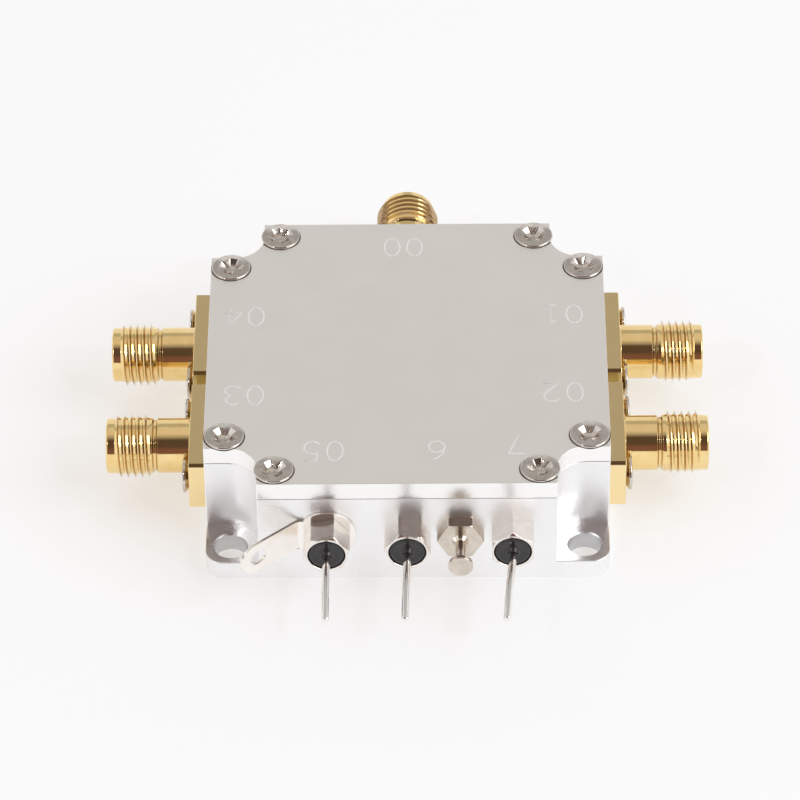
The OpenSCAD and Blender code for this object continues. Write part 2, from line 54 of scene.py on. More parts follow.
# shader maths: a wrapped socket that takes part in plain Python expressions
class Flow:
    def __init__(self, graph, socket):
        self.graph = graph
        self.socket = socket

    def maths(self, operation, *values):
        return self.graph.node("ShaderNodeMath", {"operation": operation}, dict(enumerate(values)))

    def __add__(self, other):
        return self.maths("ADD", self, other)

    def __radd__(self, other):
        return self.maths("ADD", other, self)

    def __sub__(self, other):
        return self.maths("SUBTRACT", self, other)

    def __rsub__(self, other):
        return self.maths("SUBTRACT", other, self)

    def __mul__(self, other):
        return self.maths("MULTIPLY", self, other)

    def __rmul__(self, other):
        return self.maths("MULTIPLY", other, self)

    def __pow__(self, other):
        return self.maths("POWER", self, other)

    def highest(self, other):
        return self.maths("MAXIMUM", self, other)

    def sine(self):
        return self.maths("SINE", self)

    def size(self):
        return self.maths("ABSOLUTE", self)

    # 0 below low, 1 above high, smooth between; low above high turns it round
    def step(self, low, high):
        ends = (low, high, 0.0, 1.0) if low < high else (high, low, 1.0, 0.0)
        kind = {"interpolation_type": "SMOOTHSTEP"}
        return self.graph.node("ShaderNodeMapRange", kind, dict(enumerate((self, *ends))))


# a node tree that is written from the inside out
class Graph:
    def __init__(self, tree):
        self.tree = tree
        tree.nodes.clear()

    # settings are set first, then the values or links of the sockets
    def node(self, kind, settings=None, sockets=None, out=0):
        made = self.tree.nodes.new(kind)
        for name, value in (settings or {}).items():
            setattr(made, name, value)
        for key, value in (sockets or {}).items():
            socket = made.inputs[key]
            if isinstance(value, Flow):
                self.tree.links.new(value.socket, socket)
            else:
                socket.default_value = value
        return Flow(self, made.outputs[out]) if made.outputs else None

    def place(self):
        return self.node("ShaderNodeTexCoord", out="Object")

    # the object's own position in millimetres, stretched by (x, y, z)
    def millimetres(self, stretch=(1, 1, 1)):
        scale = tuple(s / mm for s in stretch)
        return self.node("ShaderNodeMapping", None, {"Vector": self.place(), "Scale": scale})

    def noise(self, where, scale, detail=3.0, rough=0.5):
        sockets = {"Vector": where, "Scale": scale, "Detail": detail, "Roughness": rough}
        return self.node("ShaderNodeTexNoise", None, sockets)

    # how far each point is from the middle of its cell
    def cells(self, where, scale):
        return self.node("ShaderNodeTexVoronoi", None, {"Vector": where, "Scale": scale}, "Distance")

    # the x, y and z of the way that the surface faces
    def facing(self):
        return self.split(self.node("ShaderNodeNewGeometry", out="Normal"))

    def split(self, vector):
        made = self.node("ShaderNodeSeparateXYZ", None, {0: vector})
        return [Flow(self, socket) for socket in made.socket.node.outputs]

    def blend(self, share, first, second):
        colours = [c if isinstance(c, Flow) else (*c, 1.0) for c in (first, second)]
        sockets = {0: share, 6: colours[0], 7: colours[1]}
        return self.node("ShaderNodeMix", {"data_type": "RGBA"}, sockets, 2)

    def bump(self, height, strength, depth, under=None):
        sockets = {"Height": height, "Strength": strength, "Distance": depth * mm}
        if under:
            sockets["Normal"] = under
        return self.node("ShaderNodeBump", None, sockets)

    # 0 on flat ground, rising where the surface turns within radius millimetres
    def edge(self, radius):
        rounded = self.node("ShaderNodeBevel", {"samples": 4}, {"Radius": radius * mm})
        pair = {0: rounded, 1: self.node("ShaderNodeNewGeometry", out="Normal")}
        return 1.0 - self.node("ShaderNodeVectorMath", {"operation": "DOT_PRODUCT"}, pair, "Value")


# one surface: colour, roughness and relief vary, and what is the same everywhere is set on the shader
def finish(name, build, fixed):
    material = bpy.data.materials.new(name)
    material.use_nodes = True
    graph = Graph(material.node_tree)
    colour, rough, relief = build(graph)
    varied = {"Base Color": colour, "Roughness": rough, "Normal": relief}
    shader = graph.node("ShaderNodeBsdfPrincipled", None, {**fixed, **varied})
    graph.node("ShaderNodeOutputMaterial", None, {"Surface": shader})
    return material


# satin milled aluminium: faint cutter lines, soft clouds, a few fine nicks, and painted shade inside the ears'
# holes
milled = {
    "colour": (0.97, 0.97, 0.975), "dull": (0.94, 0.94, 0.95), "nick": (0.5, 0.5, 0.52),
    "holeShade": (0.66, 0.67, 0.69), "roughness": 0.29, "line": 0.04, "nicks": 0.25,
    "holeAt": 17.5, "holeTo": 1.72, "holeBlur": 0.04,
}


def milledMetal(g):
    where = g.millimetres()
    clouds = g.noise(where, 0.22, 4.0)
    lines = g.noise(g.millimetres((0.35, 0.35, 6.0)), 1.0, 3.0, 0.65)
    grain = g.noise(where, 5.5, 3.0, 0.75)
    nicks = g.cells(where, 1.1).step(0.10, 0.04) * g.noise(where, 0.6).step(0.58, 0.66)
    colour = g.blend(clouds.step(0.35, 0.75), milled["colour"], milled["dull"])
    colour = g.blend(nicks * milled["nicks"], colour, milled["nick"])
    x, y, z = g.split(where)
    # painted shade: the walls of the ears' holes are drawn a darker grey, as though in shadow
    away = ((x.size() - milled["holeAt"]) ** 2 + (y.size() - milled["holeAt"]) ** 2) ** 0.5
    holeShade = away.step(milled["holeTo"], milled["holeTo"] - milled["holeBlur"])
    colour = g.blend(holeShade, colour, milled["holeShade"])
    rough = milled["roughness"] + (lines - 0.5) * milled["line"] + (clouds - 0.5) * 0.10 + nicks * 0.1
    return colour, rough, g.bump(lines, 0.03, 0.02, g.bump(grain, 0.6, 0.04))


# fine blasted plate: a sparkling grain with stray pits and hairline scratches; its sides are brighter
blasted = {
    "colour": (0.92, 0.905, 0.88), "tint": (0.905, 0.885, 0.85), "side": (1.0, 0.995, 0.985),
    "glint": (0.95, 0.94, 0.92), "pit": (0.9, 0.89, 0.87),
    "roughness": 0.46, "sparkle": 0.25, "sidePolish": 0.28,
}


def blastedMetal(g):
    where = g.millimetres()
    grain = g.noise(where, 9.0, 4.0, 0.75)
    coarse = g.noise(where, 0.16, 3.0)
    pits = g.cells(where, 0.55).step(0.085, 0.03) * g.noise(where, 0.5).step(0.55, 0.6)
    hair = g.cells(g.millimetres((0.16, 2.6, 1.0)), 0.7).step(0.045, 0.01)
    colour = g.blend(coarse.step(0.3, 0.7), blasted["colour"], blasted["tint"])
    colour = g.blend(grain.step(0.62, 0.8) * blasted["sparkle"], colour, blasted["glint"])
    colour = g.blend((pits + hair * 0.35) * 0.5, colour, blasted["pit"])
    side = g.facing()[2].size().step(0.75, 0.45)
    colour = g.blend(side, colour, blasted["side"])
    rough = blasted["roughness"] + (grain - 0.5) * 0.12 - pits * 0.12 - side * blasted["sidePolish"]
    return colour, rough, g.bump(pits, 0.35, 0.03, g.bump(grain, 0.30, 0.012))


# where the plate's skin is scratched away, it is paler and duller
scratch = {"pale": (0.95, 0.945, 0.94), "grey": (0.84, 0.83, 0.82), "roughness": 0.82}


def scratchedMark(g):
    grain = g.noise(g.millimetres(), 12.0, 3.0, 0.7)
    colour = g.blend(grain, scratch["pale"], scratch["grey"])
    return colour, scratch["roughness"] + (grain - 0.5) * 0.2, g.bump(grain, 0.3, 0.01)


# gold over turned brass, with painted shade that turns the flanks of the threads brown, satin tops on the
# flanges that are also painted darker, flange ends painted lighter, and painted shade on the ends that face
# each other across the middle;
# the places are millimetres out from the middle: where the flanges and threads end, and the rear jack begins
gilt = {
    "colour": (0.955, 0.735, 0.36), "deep": (0.93, 0.68, 0.30), "stain": (0.80, 0.53, 0.24),
    # the flank, top and gap colours are painted shade, and the end colour is painted light
    "flank": (0.60, 0.45, 0.28), "top": (0.79, 0.60, 0.315), "end": (0.975, 0.775, 0.42),
    "gap": (0.80, 0.72, 0.52),
    "roughness": 0.09, "satin": 0.12, "flangeTo": 21.68, "threadTo": 29.05, "rearFrom": 20.4,
}


def goldPlate(g):
    where = g.millimetres()
    clouds = g.noise(where, 0.7, 4.0)
    fine = g.noise(where, 22.0, 2.0)
    stains = g.noise(where, 2.2, 5.0, 0.7).step(0.56, 0.74)
    colour = g.blend(clouds.step(0.35, 0.7), gilt["colour"], gilt["deep"])
    colour = g.blend(stains * 0.22, colour, gilt["stain"])
    x, y, z = g.split(where)
    out = x.size().highest(y.size())
    flange = out.step(gilt["flangeTo"] + 0.03, gilt["flangeTo"])
    tilts = g.facing()
    rear = y.step(gilt["rearFrom"], gilt["rearFrom"] + 0.2)
    # painted shade: the steep faces of the thread and its groove, its flanks, are drawn brown
    steep = (tilts[0].size() * (1 - rear) + tilts[1].size() * rear).step(0.55, 0.85)
    steep = steep * (1 - flange) * out.step(gilt["threadTo"], gilt["threadTo"] - 0.1)
    colour = g.blend(steep, colour, gilt["flank"])
    # the flanges' tops are satin, and are also drawn a darker gold: painted shade
    top = flange * tilts[2].step(0.85, 0.96)
    # painted light: the flanges' ends are drawn a lighter gold; painted shade: where two flanges face each
    # other across the middle, their ends are a duller, darker gold
    end = flange * tilts[1].size().step(0.85, 0.96) * (1 - rear)
    between = g.blend(y.size().step(1.2, 0.9), gilt["end"], gilt["gap"])
    colour = g.blend(end, g.blend(top, colour, gilt["top"]), between)
    rough = gilt["roughness"] + (clouds - 0.5) * 0.06 + stains * 0.06 + top * gilt["satin"]
    return colour, rough, g.bump(fine, 0.10, 0.006)


# bright nickel over steel, as on the screws
screwTone = {
    "colour": (0.74, 0.69, 0.645), "dark": (0.60, 0.55, 0.51), "mark": (0.8, 0.77, 0.73), "roughness": 0.09,
}


def screwSteel(g):
    where = g.millimetres()
    clouds = g.noise(where, 1.6, 4.0)
    marks = g.noise(g.millimetres((4.0, 1.0, 4.0)), 5.0, 3.0, 0.7).step(0.55, 0.75)
    colour = g.blend(clouds.step(0.3, 0.7), screwTone["colour"], screwTone["dark"])
    rough = screwTone["roughness"] + marks * 0.12 + (clouds - 0.5) * 0.08
    relief = g.bump(g.noise(where, 7.0, 3.0), 0.14, 0.012)
    return g.blend(marks * 0.3, colour, screwTone["mark"]), rough, relief


# warm bright nickel on the hexagons and the post
nickelTone = {"colour": (0.93, 0.885, 0.835), "dark": (0.86, 0.805, 0.75), "roughness": 0.19}
postTone = {"colour": (0.74, 0.67, 0.59), "dark": (0.65, 0.58, 0.50), "roughness": 0.17}


def nickelPlate(tone):
    def build(g):
        clouds = g.noise(g.millimetres(), 1.1, 4.0)
        turning = g.noise(g.millimetres((0.5, 9.0, 0.5)), 1.2, 2.0)
        colour = g.blend(clouds.step(0.35, 0.7), tone["colour"], tone["dark"])
        rough = tone["roughness"] + (clouds - 0.5) * 0.10 + (turning - 0.5) * 0.08
        return colour, rough, g.bump(turning, 0.08, 0.01)
    return build


# bright tin, with the dimples that soldering leaves
tinTone = {"colour": (0.93, 0.92, 0.905), "dark": (0.70, 0.68, 0.66), "roughness": 0.12}


def brightTin(g):
    dimples = g.noise(g.millimetres((1.0, 0.6, 1.0)), 3.0, 3.0, 0.6)
    specks = g.noise(g.millimetres(), 7.0, 2.0).step(0.62, 0.74)
    colour = g.blend(specks * 0.6, tinTone["colour"], tinTone["dark"])
    return colour, tinTone["roughness"] + specks * 0.2, g.bump(dimples, 0.35, 0.03)


# tinned brass sheet of the lug, with bare brass showing at its cut rim
lugTone = {
    "colour": (1.0, 0.97, 0.925), "warm": (0.985, 0.935, 0.87), "rim": (0.50, 0.33, 0.20),
    "roughness": 0.19, "rimWide": 0.09, "rimShare": 0.85,
}


def tinnedSheet(g):
    clouds = g.noise(g.millimetres(), 0.8, 4.0)
    rolled = g.noise(g.millimetres((0.6, 3.0, 3.0)), 2.0, 3.0)
    rim = g.edge(lugTone["rimWide"]).step(0.02, 0.28)
    colour = g.blend(clouds.step(0.4, 0.7), lugTone["colour"], lugTone["warm"])
    colour = g.blend(rim * lugTone["rimShare"], colour, lugTone["rim"])
    return colour, lugTone["roughness"] + (rolled - 0.5) * 0.12, g.bump(rolled, 0.12, 0.012)


# cast epoxy with a little dust and a few bubbles
epoxyTone = {"colour": (0.030, 0.026, 0.028), "dust": (0.12, 0.11, 0.11), "roughness": 0.09}


def castEpoxy(g):
    where = g.millimetres()
    dust = g.noise(where, 9.0, 4.0, 0.7).step(0.62, 0.8)
    bubbles = g.cells(where, 2.6).step(0.16, 0.05)
    colour = g.blend(dust * 0.25, epoxyTone["colour"], epoxyTone["dust"])
    relief = g.bump(bubbles, 0.25, 0.03, g.bump(g.noise(where, 1.4, 2.0), 0.25, 0.05))
    return colour, epoxyTone["roughness"] + dust * 0.25, relief


# white turned plastic round the contacts
plasticTone = {"colour": (0.80, 0.80, 0.785), "dark": (0.72, 0.72, 0.70), "roughness": 0.42}


def whitePlastic(g):
    where = g.millimetres()
    turning = g.noise(where, 6.0, 3.0)
    colour = g.blend(g.noise(where, 0.9, 3.0), plasticTone["colour"], plasticTone["dark"])
    return colour, plasticTone["roughness"] + (turning - 0.5) * 0.2, g.bump(turning, 0.15, 0.01)


# solder resist over woven glass, with bare laminate at the sawn edge
boardTone = {
    "resist": (0.018, 0.115, 0.050), "dark": (0.010, 0.075, 0.034), "sawn": (0.42, 0.36, 0.20),
    "weave": 6.0, "roughness": 0.72, "gloss": 0.47,
}


def boardLaminate(g):
    where = g.millimetres()
    x, y, z = g.split(where)
    weave = (x * boardTone["weave"]).sine() * (y * boardTone["weave"]).sine() * 0.5 + 0.5
    up = g.facing()[2].size().step(0.5, 0.7)
    colour = g.blend(g.noise(where, 0.5, 3.0) * 0.6 + weave * 0.25, boardTone["resist"], boardTone["dark"])
    colour = g.blend(up, boardTone["sawn"], colour)
    rough = boardTone["roughness"] - up * boardTone["gloss"] + (weave - 0.5) * 0.06
    return colour, rough, g.bump(weave, 0.15, 0.01)


# gold over copper on the board
trackTone = {"colour": (0.90, 0.66, 0.30), "dark": (0.78, 0.50, 0.20), "roughness": 0.24}


def boardGold(g):
    clouds = g.noise(g.millimetres(), 1.4, 4.0)
    colour = g.blend(clouds.step(0.3, 0.7), trackTone["colour"], trackTone["dark"])
    return colour, trackTone["roughness"] + (clouds - 0.5) * 0.14, g.bump(clouds, 0.2, 0.02)


# moulded chip package
mouldTone = {"colour": (0.022, 0.022, 0.024), "dark": (0.045, 0.044, 0.045), "roughness": 0.46}


def chipMould(g):
    grain = g.noise(g.millimetres(), 16.0, 4.0, 0.7)
    colour = g.blend(grain, mouldTone["colour"], mouldTone["dark"])
    return colour, mouldTone["roughness"] + (grain - 0.5) * 0.25, g.bump(grain, 0.3, 0.01)


# fired ceramic of the small parts
capacitorTone = {"colour": (0.46, 0.33, 0.21), "dark": (0.36, 0.25, 0.15), "roughness": 0.5}
resistorTone = {"colour": (0.02, 0.02, 0.02), "dark": (0.04, 0.04, 0.04), "roughness": 0.3}


def firedBody(tone):
    def build(g):
        grain = g.noise(g.millimetres(), 10.0, 4.0, 0.6)
        colour = g.blend(grain, tone["colour"], tone["dark"])
        return colour, tone["roughness"] + (grain - 0.5) * 0.2, g.bump(grain, 0.2, 0.01)
    return build


metal = {"Metallic": 1.0}
recipes = {
    "milled_aluminium": (milledMetal, metal),
    "cover_aluminium": (blastedMetal, metal),
    "gold_plate": (goldPlate, metal),
    "screw_steel": (screwSteel, metal),
    "nickel_plate": (nickelPlate(nickelTone), metal),
    "post_nickel": (nickelPlate(postTone), metal),
    "numeral_scratch": (scratchedMark, {"IOR": 1.4}),
    "tinned_pin": (brightTin, metal),
    "tinned_lug": (tinnedSheet, metal),
    "black_epoxy": (castEpoxy, {"IOR": 1.55}),
    "white_insulator": (whitePlastic, {"IOR": 1.36}),
    "board_laminate": (boardLaminate, {"IOR": 1.5}),
    "track_copper": (boardGold, metal),
    "chip_black": (chipMould, {"IOR": 1.5}),
    "capacitor_ceramic": (firedBody(capacitorTone), {"IOR": 1.5}),
    "resistor_black": (firedBody(resistorTone), {"IOR": 1.5}),
}
finishes = {name: finish(name, build, fixed) for name, (build, fixed) in recipes.items()}
print("finishes made:", len(finishes))


# one closed piece of mesh, drawn in millimetres
class Shape:
    def __init__(self):
        self.mesh = bmesh.new()

    def ring(self, points, height=None):
        return [self.mesh.verts.new((p[0], p[1], p[2] if height is None else height)) for p in points]

    def skin(self, rings):
        for low, high in zip(rings, rings[1:]):
            for i in range(len(low)):
                j = (i + 1) % len(low)
                self.mesh.faces.new((low[i], low[j], high[j], high[i]))

    # closes a ring, with the other rings as holes in it
    def cap(self, ring, *holes):
        corners = [vertex for loop in (ring, *holes) for vertex in loop]
        for face in tessellate_polygon([[vertex.co for vertex in loop] for loop in (ring, *holes)]):
            self.mesh.faces.new([corners[k] for k in face])

    def plain(self, ring):
        self.mesh.faces.new(ring)

    # rings from a plan that shrinks with height; with caps, the first and last are closed
    def prism(self, corners, levels, steps=6, caps=True):
        rings = [self.ring(outline(corners, inset, steps), height) for inset, height in levels]
        self.skin(rings)
        if caps:
            self.plain(rings[0])
            self.plain(rings[-1])
        return rings

    # rings round the z axis; a radius of 0 becomes a point when the shape is built
    def turn(self, profile, sides=48, warp=None):
        rings = []
        for r, z in profile:
            points = []
            for j in range(sides):
                angle = 2 * math.pi * j / sides
                radius = warp(r, z, angle) if warp else r
                points.append((radius * math.cos(angle), radius * math.sin(angle), z))
            rings.append(self.ring(points))
        self.skin(rings)
        return rings

    def place(self, matrix):
        self.mesh.transform(matrix)
        return self

    def add(self, other, matrix=Matrix()):
        data = bpy.data.meshes.new("joined")
        other.mesh.to_mesh(data)
        data.transform(matrix)
        self.mesh.from_mesh(data)
        bpy.data.meshes.remove(data)
        return self

    def build(self, name):
        bmesh.ops.remove_doubles(self.mesh, verts=self.mesh.verts, dist=1e-4)
        bmesh.ops.dissolve_degenerate(self.mesh, edges=self.mesh.edges, dist=1e-5)
        bmesh.ops.recalc_face_normals(self.mesh, faces=self.mesh.faces)
        data = bpy.data.meshes.new(name)
        self.mesh.to_mesh(data)
        self.mesh.free()
        piece = bpy.data.objects.new(name, data)
        bpy.context.scene.collection.objects.link(piece)
        return piece


# the arc of steps + 1 points that rounds a corner
def roundCorner(before, here, after, radius, steps):
    arrive = (here - before).normalized()
    leave = (after - here).normalized()
    turn = math.atan2(arrive.x * leave.y - arrive.y * leave.x, arrive.dot(leave))
    side = 1 if turn > 0 else -1
    start = here - arrive * radius * math.tan(abs(turn) / 2)
    arm = Vector((arrive.y, -arrive.x)) * side * radius
    return [start - arm + Matrix.Rotation(turn * k / steps, 2) @ arm for k in range(steps + 1)]


# a closed plan, anticlockwise, of corners (x, y, radius), drawn in by inset
def outline(corners, inset=0.0, steps=6):
    points = []
    for i, (x, y, radius) in enumerate(corners):
        here = Vector((x, y))
        arrive = (here - Vector(corners[i - 1][:2])).normalized()
        leave = (Vector(corners[(i + 1) % len(corners)][:2]) - here).normalized()
        inwards = Vector((-arrive.y, arrive.x)), Vector((-leave.y, leave.x))
        convex = arrive.x * leave.y - arrive.y * leave.x > 0
        shifted = here + (inwards[0] + inwards[1]) * inset / (1 + inwards[0].dot(inwards[1]))
        soft = max(radius - inset, 0.0) if convex else radius + inset
        points += roundCorner(shifted - arrive, shifted, shifted + leave, soft, steps)
    return points


# an open line of corners (r, z, radius) for turned pieces
def turned(corners, steps=3):
    points = [Vector(corners[0][:2])]
    for before, here, after in zip(corners, corners[1:], corners[2:]):
        spots = [Vector(corner[:2]) for corner in (before, here, after)]
        points += roundCorner(*spots, here[2], steps) if here[2] else [spots[1]]
    return points + [Vector(corners[-1][:2])]


# (inset, height) of the rings that give a prism soft edges below and above
def softLevels(low, high, lowEdge=0.0, highEdge=0.0, steps=3):
    turns = [math.pi / 2 * k / steps for k in range(steps + 1)]
    rings = [(lowEdge * (1 - math.sin(t)), low + lowEdge * (1 - math.cos(t))) for t in turns]
    rings = rings if lowEdge else [(0.0, low)]
    above = [(highEdge * (1 - math.cos(t)), high - highEdge * (1 - math.sin(t))) for t in turns]
    return rings + (above if highEdge else [(0.0, high)])


def rectangle(width, depth, radius, x=0.0, y=0.0):
    half = ((-1, -1), (1, -1), (1, 1), (-1, 1))
    return [(x + sx * width / 2, y + sy * depth / 2, radius) for sx, sy in half]


def carve(target, *cutters):
    for cutter in cutters:
        modifier = target.modifiers.new("carve", "BOOLEAN")
        modifier.operation = "DIFFERENCE"
        modifier.solver = "EXACT"
        modifier.object = cutter
    graph = bpy.context.evaluated_depsgraph_get()
    data = bpy.data.meshes.new_from_object(target.evaluated_get(graph))
    target.modifiers.clear()
    target.data = data
    for cutter in cutters:
        bpy.data.objects.remove(cutter)
    return target


bodyOf = {node: body for body, nodes in frame["record"]["behaviour"]["bodies"].items() for node in nodes}
sharpFrom = math.radians(34)


# puts a piece drawn in millimetres in its CAD node's place, on its body, with its finish
def fit(piece, node, slot, place=Matrix(), *others, look=None):
    piece.data.shade_smooth()
    piece.data.set_sharp_from_angle(angle=sharpFrom)
    # weighted normals keep wide faces flat; they are worked out in millimetres,
    # because areas as small as these have no effect in metres
    weights = piece.modifiers.new("flats", "WEIGHTED_NORMAL")
    weights.keep_sharp = True
    graph = bpy.context.evaluated_depsgraph_get()
    data = bpy.data.meshes.new_from_object(piece.evaluated_get(graph))
    piece.modifiers.clear()
    piece.data = data
    data.transform(Matrix.Scale(mm, 4) @ place)
    data.materials.clear()
    for name in (look or slot, *others):
        data.materials.append(finishes[name])
    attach(piece, bodyOf[node])
    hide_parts(node)
    return piece


# lowest and highest corner of a CAD node in millimetres
def span(node):
    low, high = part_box(node)
    return low / mm, high / mm


def middle(node):
    low, high = span(node)
    return (low + high) / 2


bodyLow, bodyHigh = span("housing")
coverLow, coverHigh = span("cover")
wallAt = bodyHigh.x  # the four walls are alike
jackZ = middle("rear_jack_insulator").z

# turns (along the wall, up, out of the wall) into the frame
portTurns = {"left_front": 180, "left_rear": 180, "rear": 90, "right_rear": 0, "right_front": 0}


def atPort(port):
    heading = math.radians(portTurns[port])
    centre = middle(f"{port}_jack_insulator")
    out = Vector((math.cos(heading), math.sin(heading), 0.0))
    foot = centre - out * centre.dot(out) + out * wallAt
    turn = Matrix.Rotation(heading + math.pi / 2, 4, "Z") @ Matrix.Rotation(math.pi / 2, 4, "X")
    return Matrix.Translation((foot.x, foot.y, jackZ)) @ turn


def atFront(node):
    centre = middle(node)
    return Matrix.Translation((centre.x, bodyLow.y, centre.z)) @ Matrix.Rotation(math.pi / 2, 4, "X")


overrun = 0.5  # how far a cutter goes on past the metal

# housing: a milled block with four ears, its pocket and its bores
block = {
    "notch": 5.3, "notchRadius": 3.0, "ear": 2.1, "earRadius": 1.8, "earHole": 3.3, "earInset": 2.5,
    "corner": 0.16, "edge": 0.10, "wall": 5.0, "pocketRadius": 3.0, "burr": 0.12,
    "tapped": 1.03, "tappedDeeper": 0.25, "tappedMouth": 0.15,
    "terminalHole": 1.53, "postHole": 1.03, "postGrip": 4.25, "groove": 0.6,
}


# plan of the block above its ears: a square with four rounded notches
def blockPlan():
    half, notch, soft = wallAt, block["notch"], block["corner"]
    corner = [
        (half - notch, -half, soft),
        (half - notch, notch - half, block["notchRadius"]),
        (half, notch - half, soft),
    ]
    plan = []
    for k in range(4):
        plan += corner
        corner = [(-y, x, radius) for x, y, radius in corner]
    return plan


# cutter for a round hole whose mouth at height top is rounded by flare
def drill(radius, low, top, flare=0.0, sides=48):
    shape = Shape()
    lip = [(radius, top - flare), (radius + 0.3 * flare, top - 0.3 * flare), (radius + flare, top)]
    profile = [(0, low), (radius, low), *(lip if flare else [(radius, top)])]
    end = profile[-1][0]
    shape.turn([*profile, (end, top + overrun), (0, top + overrun)], sides)
    return shape


screwNodes = [f"cover_screw_{k}" for k in range(1, 9)]
terminalNodes = [f"{name}_terminal_seal" for name in terminals]
jack = {"bore": 2.06, "screwPitch": 8.98, "screwHole": 1.03, "screwGrip": 4.45}
boardScrew = {"inset": 2.3, "hole": 0.83, "grip": 2.65, "head": 1.5, "height": 0.55, "shank": 0.8}


def boardScrewPlaces():
    reach = wallAt - block["wall"] - boardScrew["inset"]
    fronts = [middle(terminalNodes[0]).x / 2, middle(terminalNodes[2]).x / 2]
    return [(-reach, reach), (reach, reach), (fronts[0], -reach), (fronts[1], -reach)]


def makeHousing():
    b = block
    ear, edge, burr, top = b["ear"], b["edge"], b["burr"], bodyHigh.z
    plate = Shape()
    plate.prism(rectangle(2 * wallAt, 2 * wallAt, b["earRadius"]), softLevels(0.0, ear, edge, edge), 8)
    upper = Shape()
    upper.prism(blockPlan(), softLevels(ear / 2, top, 0.0, edge), 8)
    piece = upper.build("housingBlock")
    ears = plate.build("ears")
    joined = piece.modifiers.new("ears", "BOOLEAN")
    joined.operation = "UNION"
    joined.solver = "EXACT"
    joined.object = ears

    # the pocket, the ears' holes and the cover screws' holes are cut from above
    floorZ = span("circuit_board")[0].z
    inner = 2 * (wallAt - b["wall"])
    levels = [(0.0, floorZ), (0.0, top - burr), (-burr, top), (-burr, top + overrun)]
    pocket = Shape()
    pocket.prism(rectangle(inner, inner, b["pocketRadius"]), levels, 10)
    r = b["earHole"] / 2
    line = [(0, -overrun), (r + burr, -overrun), (r + burr, 0), (r, burr)]
    line += [(r, ear - burr), (r + burr, ear), (r + burr, ear + overrun), (0, ear + overrun)]
    hole = Shape()
    hole.turn(line, 56)
    near = wallAt - b["earInset"]
    for x, y in ((-near, -near), (near, -near), (near, near), (-near, near)):
        pocket.add(hole, Matrix.Translation((x, y, 0)))
    for node in screwNodes:
        centre = middle(node)
        tapped = drill(b["tapped"], span(node)[0].z - b["tappedDeeper"], top, b["tappedMouth"], 32)
        pocket.add(tapped, Matrix.Translation((centre.x, centre.y, 0)))

    # jacks, terminals and post are bored from the walls, and the board's screw holes from the pocket's floor;
    # the wide bores go on into the pocket, where they leave short grooves in its floor
    bores = Shape()
    inside = -b["wall"] - b["groove"]
    for port in ports:
        bores.add(drill(jack["bore"], inside, 0.0), atPort(port))
        for side in (-1, 1):
            place = atPort(port) @ Matrix.Translation((side * jack["screwPitch"] / 2, 0, 0))
            bores.add(drill(jack["screwHole"], -jack["screwGrip"], 0.0, 0.0, 24), place)
    for node in terminalNodes:
        bores.add(drill(b["terminalHole"], inside, 0.0), atFront(node))
    bores.add(drill(b["postHole"], -b["postGrip"], 0.0, 0.0, 24), atFront("ground_post"))
    for x, y in boardScrewPlaces():
        tapped = drill(boardScrew["hole"], floorZ - boardScrew["grip"], floorZ, 0.0, 24)
        bores.add(tapped, Matrix.Translation((x, y, 0)))
    carve(piece, pocket.build("pocketCut"), bores.build("boreCut"))
    bpy.data.objects.remove(ears)
    return fit(piece, "housing", "milled_aluminium")


housing = makeHousing()
print("housing made:", len(housing.data.polygons), "faces")


# cover: a blasted plate with eight countersunk seats
lid = {"edge": 0.07, "hole": 1.1, "holeBurr": 0.1, "seat": 2.09, "lip": 0.03}


def makeCover():
    hole, burr, seat, lip = lid["hole"], lid["holeBurr"], lid["seat"], lid["lip"]
    low, top = coverLow.z, coverHigh.z
    plate = Shape()
    plate.prism(blockPlan(), softLevels(low, top, lid["edge"], lid["edge"]), 8)
    line = [
        (0, low - overrun), (hole + burr, low - overrun), (hole + burr, low), (hole, low + burr),
        (hole, top - seat + hole), (seat - lip, top - lip), (seat + lip / 2, top + lip / 4),
        (seat + lip / 2, top + overrun), (0, top + overrun),
    ]
    cutter = Shape()
    cutter.turn(line, 64)
    seats = Shape()
    for node in screwNodes:
        centre = middle(node)
        seats.add(cutter, Matrix.Translation((centre.x, centre.y, 0)))
    piece = plate.build("coverPlate")
    carve(piece, seats.build("seatCut"))
    return fit(piece, "cover", "cover_aluminium")


cover = makeCover()
print("cover made:", len(cover.data.polygons), "faces")


# plan of a cross with rounded arms and filleted inner corners
def crossPlan(length, width, tip, fillet):
    arm = [(length, -width, tip), (length, width, tip), (width, width, fillet)]
    plan = []
    for k in range(4):
        plan += arm
        arm = [(-y, x, radius) for x, y, radius in arm]
    return plan


# cutter for a cross recess whose mouth is at z = 0; mouth and floor are half the length and width of the arms
def recessCutter(recess):
    wide, narrow, depth = recess["mouth"], recess["floor"], recess["depth"]
    shape = Shape()
    rings = []
    for share, height in ((-0.25, 0.15), (0.0, 0.0), (0.5, -depth * 0.5), (1.0, -depth)):
        length = wide[0] + (narrow[0] - wide[0]) * share
        width = wide[1] + (narrow[1] - wide[1]) * share
        plan = crossPlan(length, width, recess["tip"], recess["fillet"] * (1 - 0.6 * max(share, 0)))
        rings.append(shape.ring(outline(plan, 0.0, 3), height))
    point = shape.mesh.verts.new((0, 0, -depth - recess["point"]))
    shape.skin(rings)
    shape.plain(rings[0])
    last = rings[-1]
    for i, vertex in enumerate(last):
        shape.mesh.faces.new((vertex, last[(i + 1) % len(last)], point))
    return shape


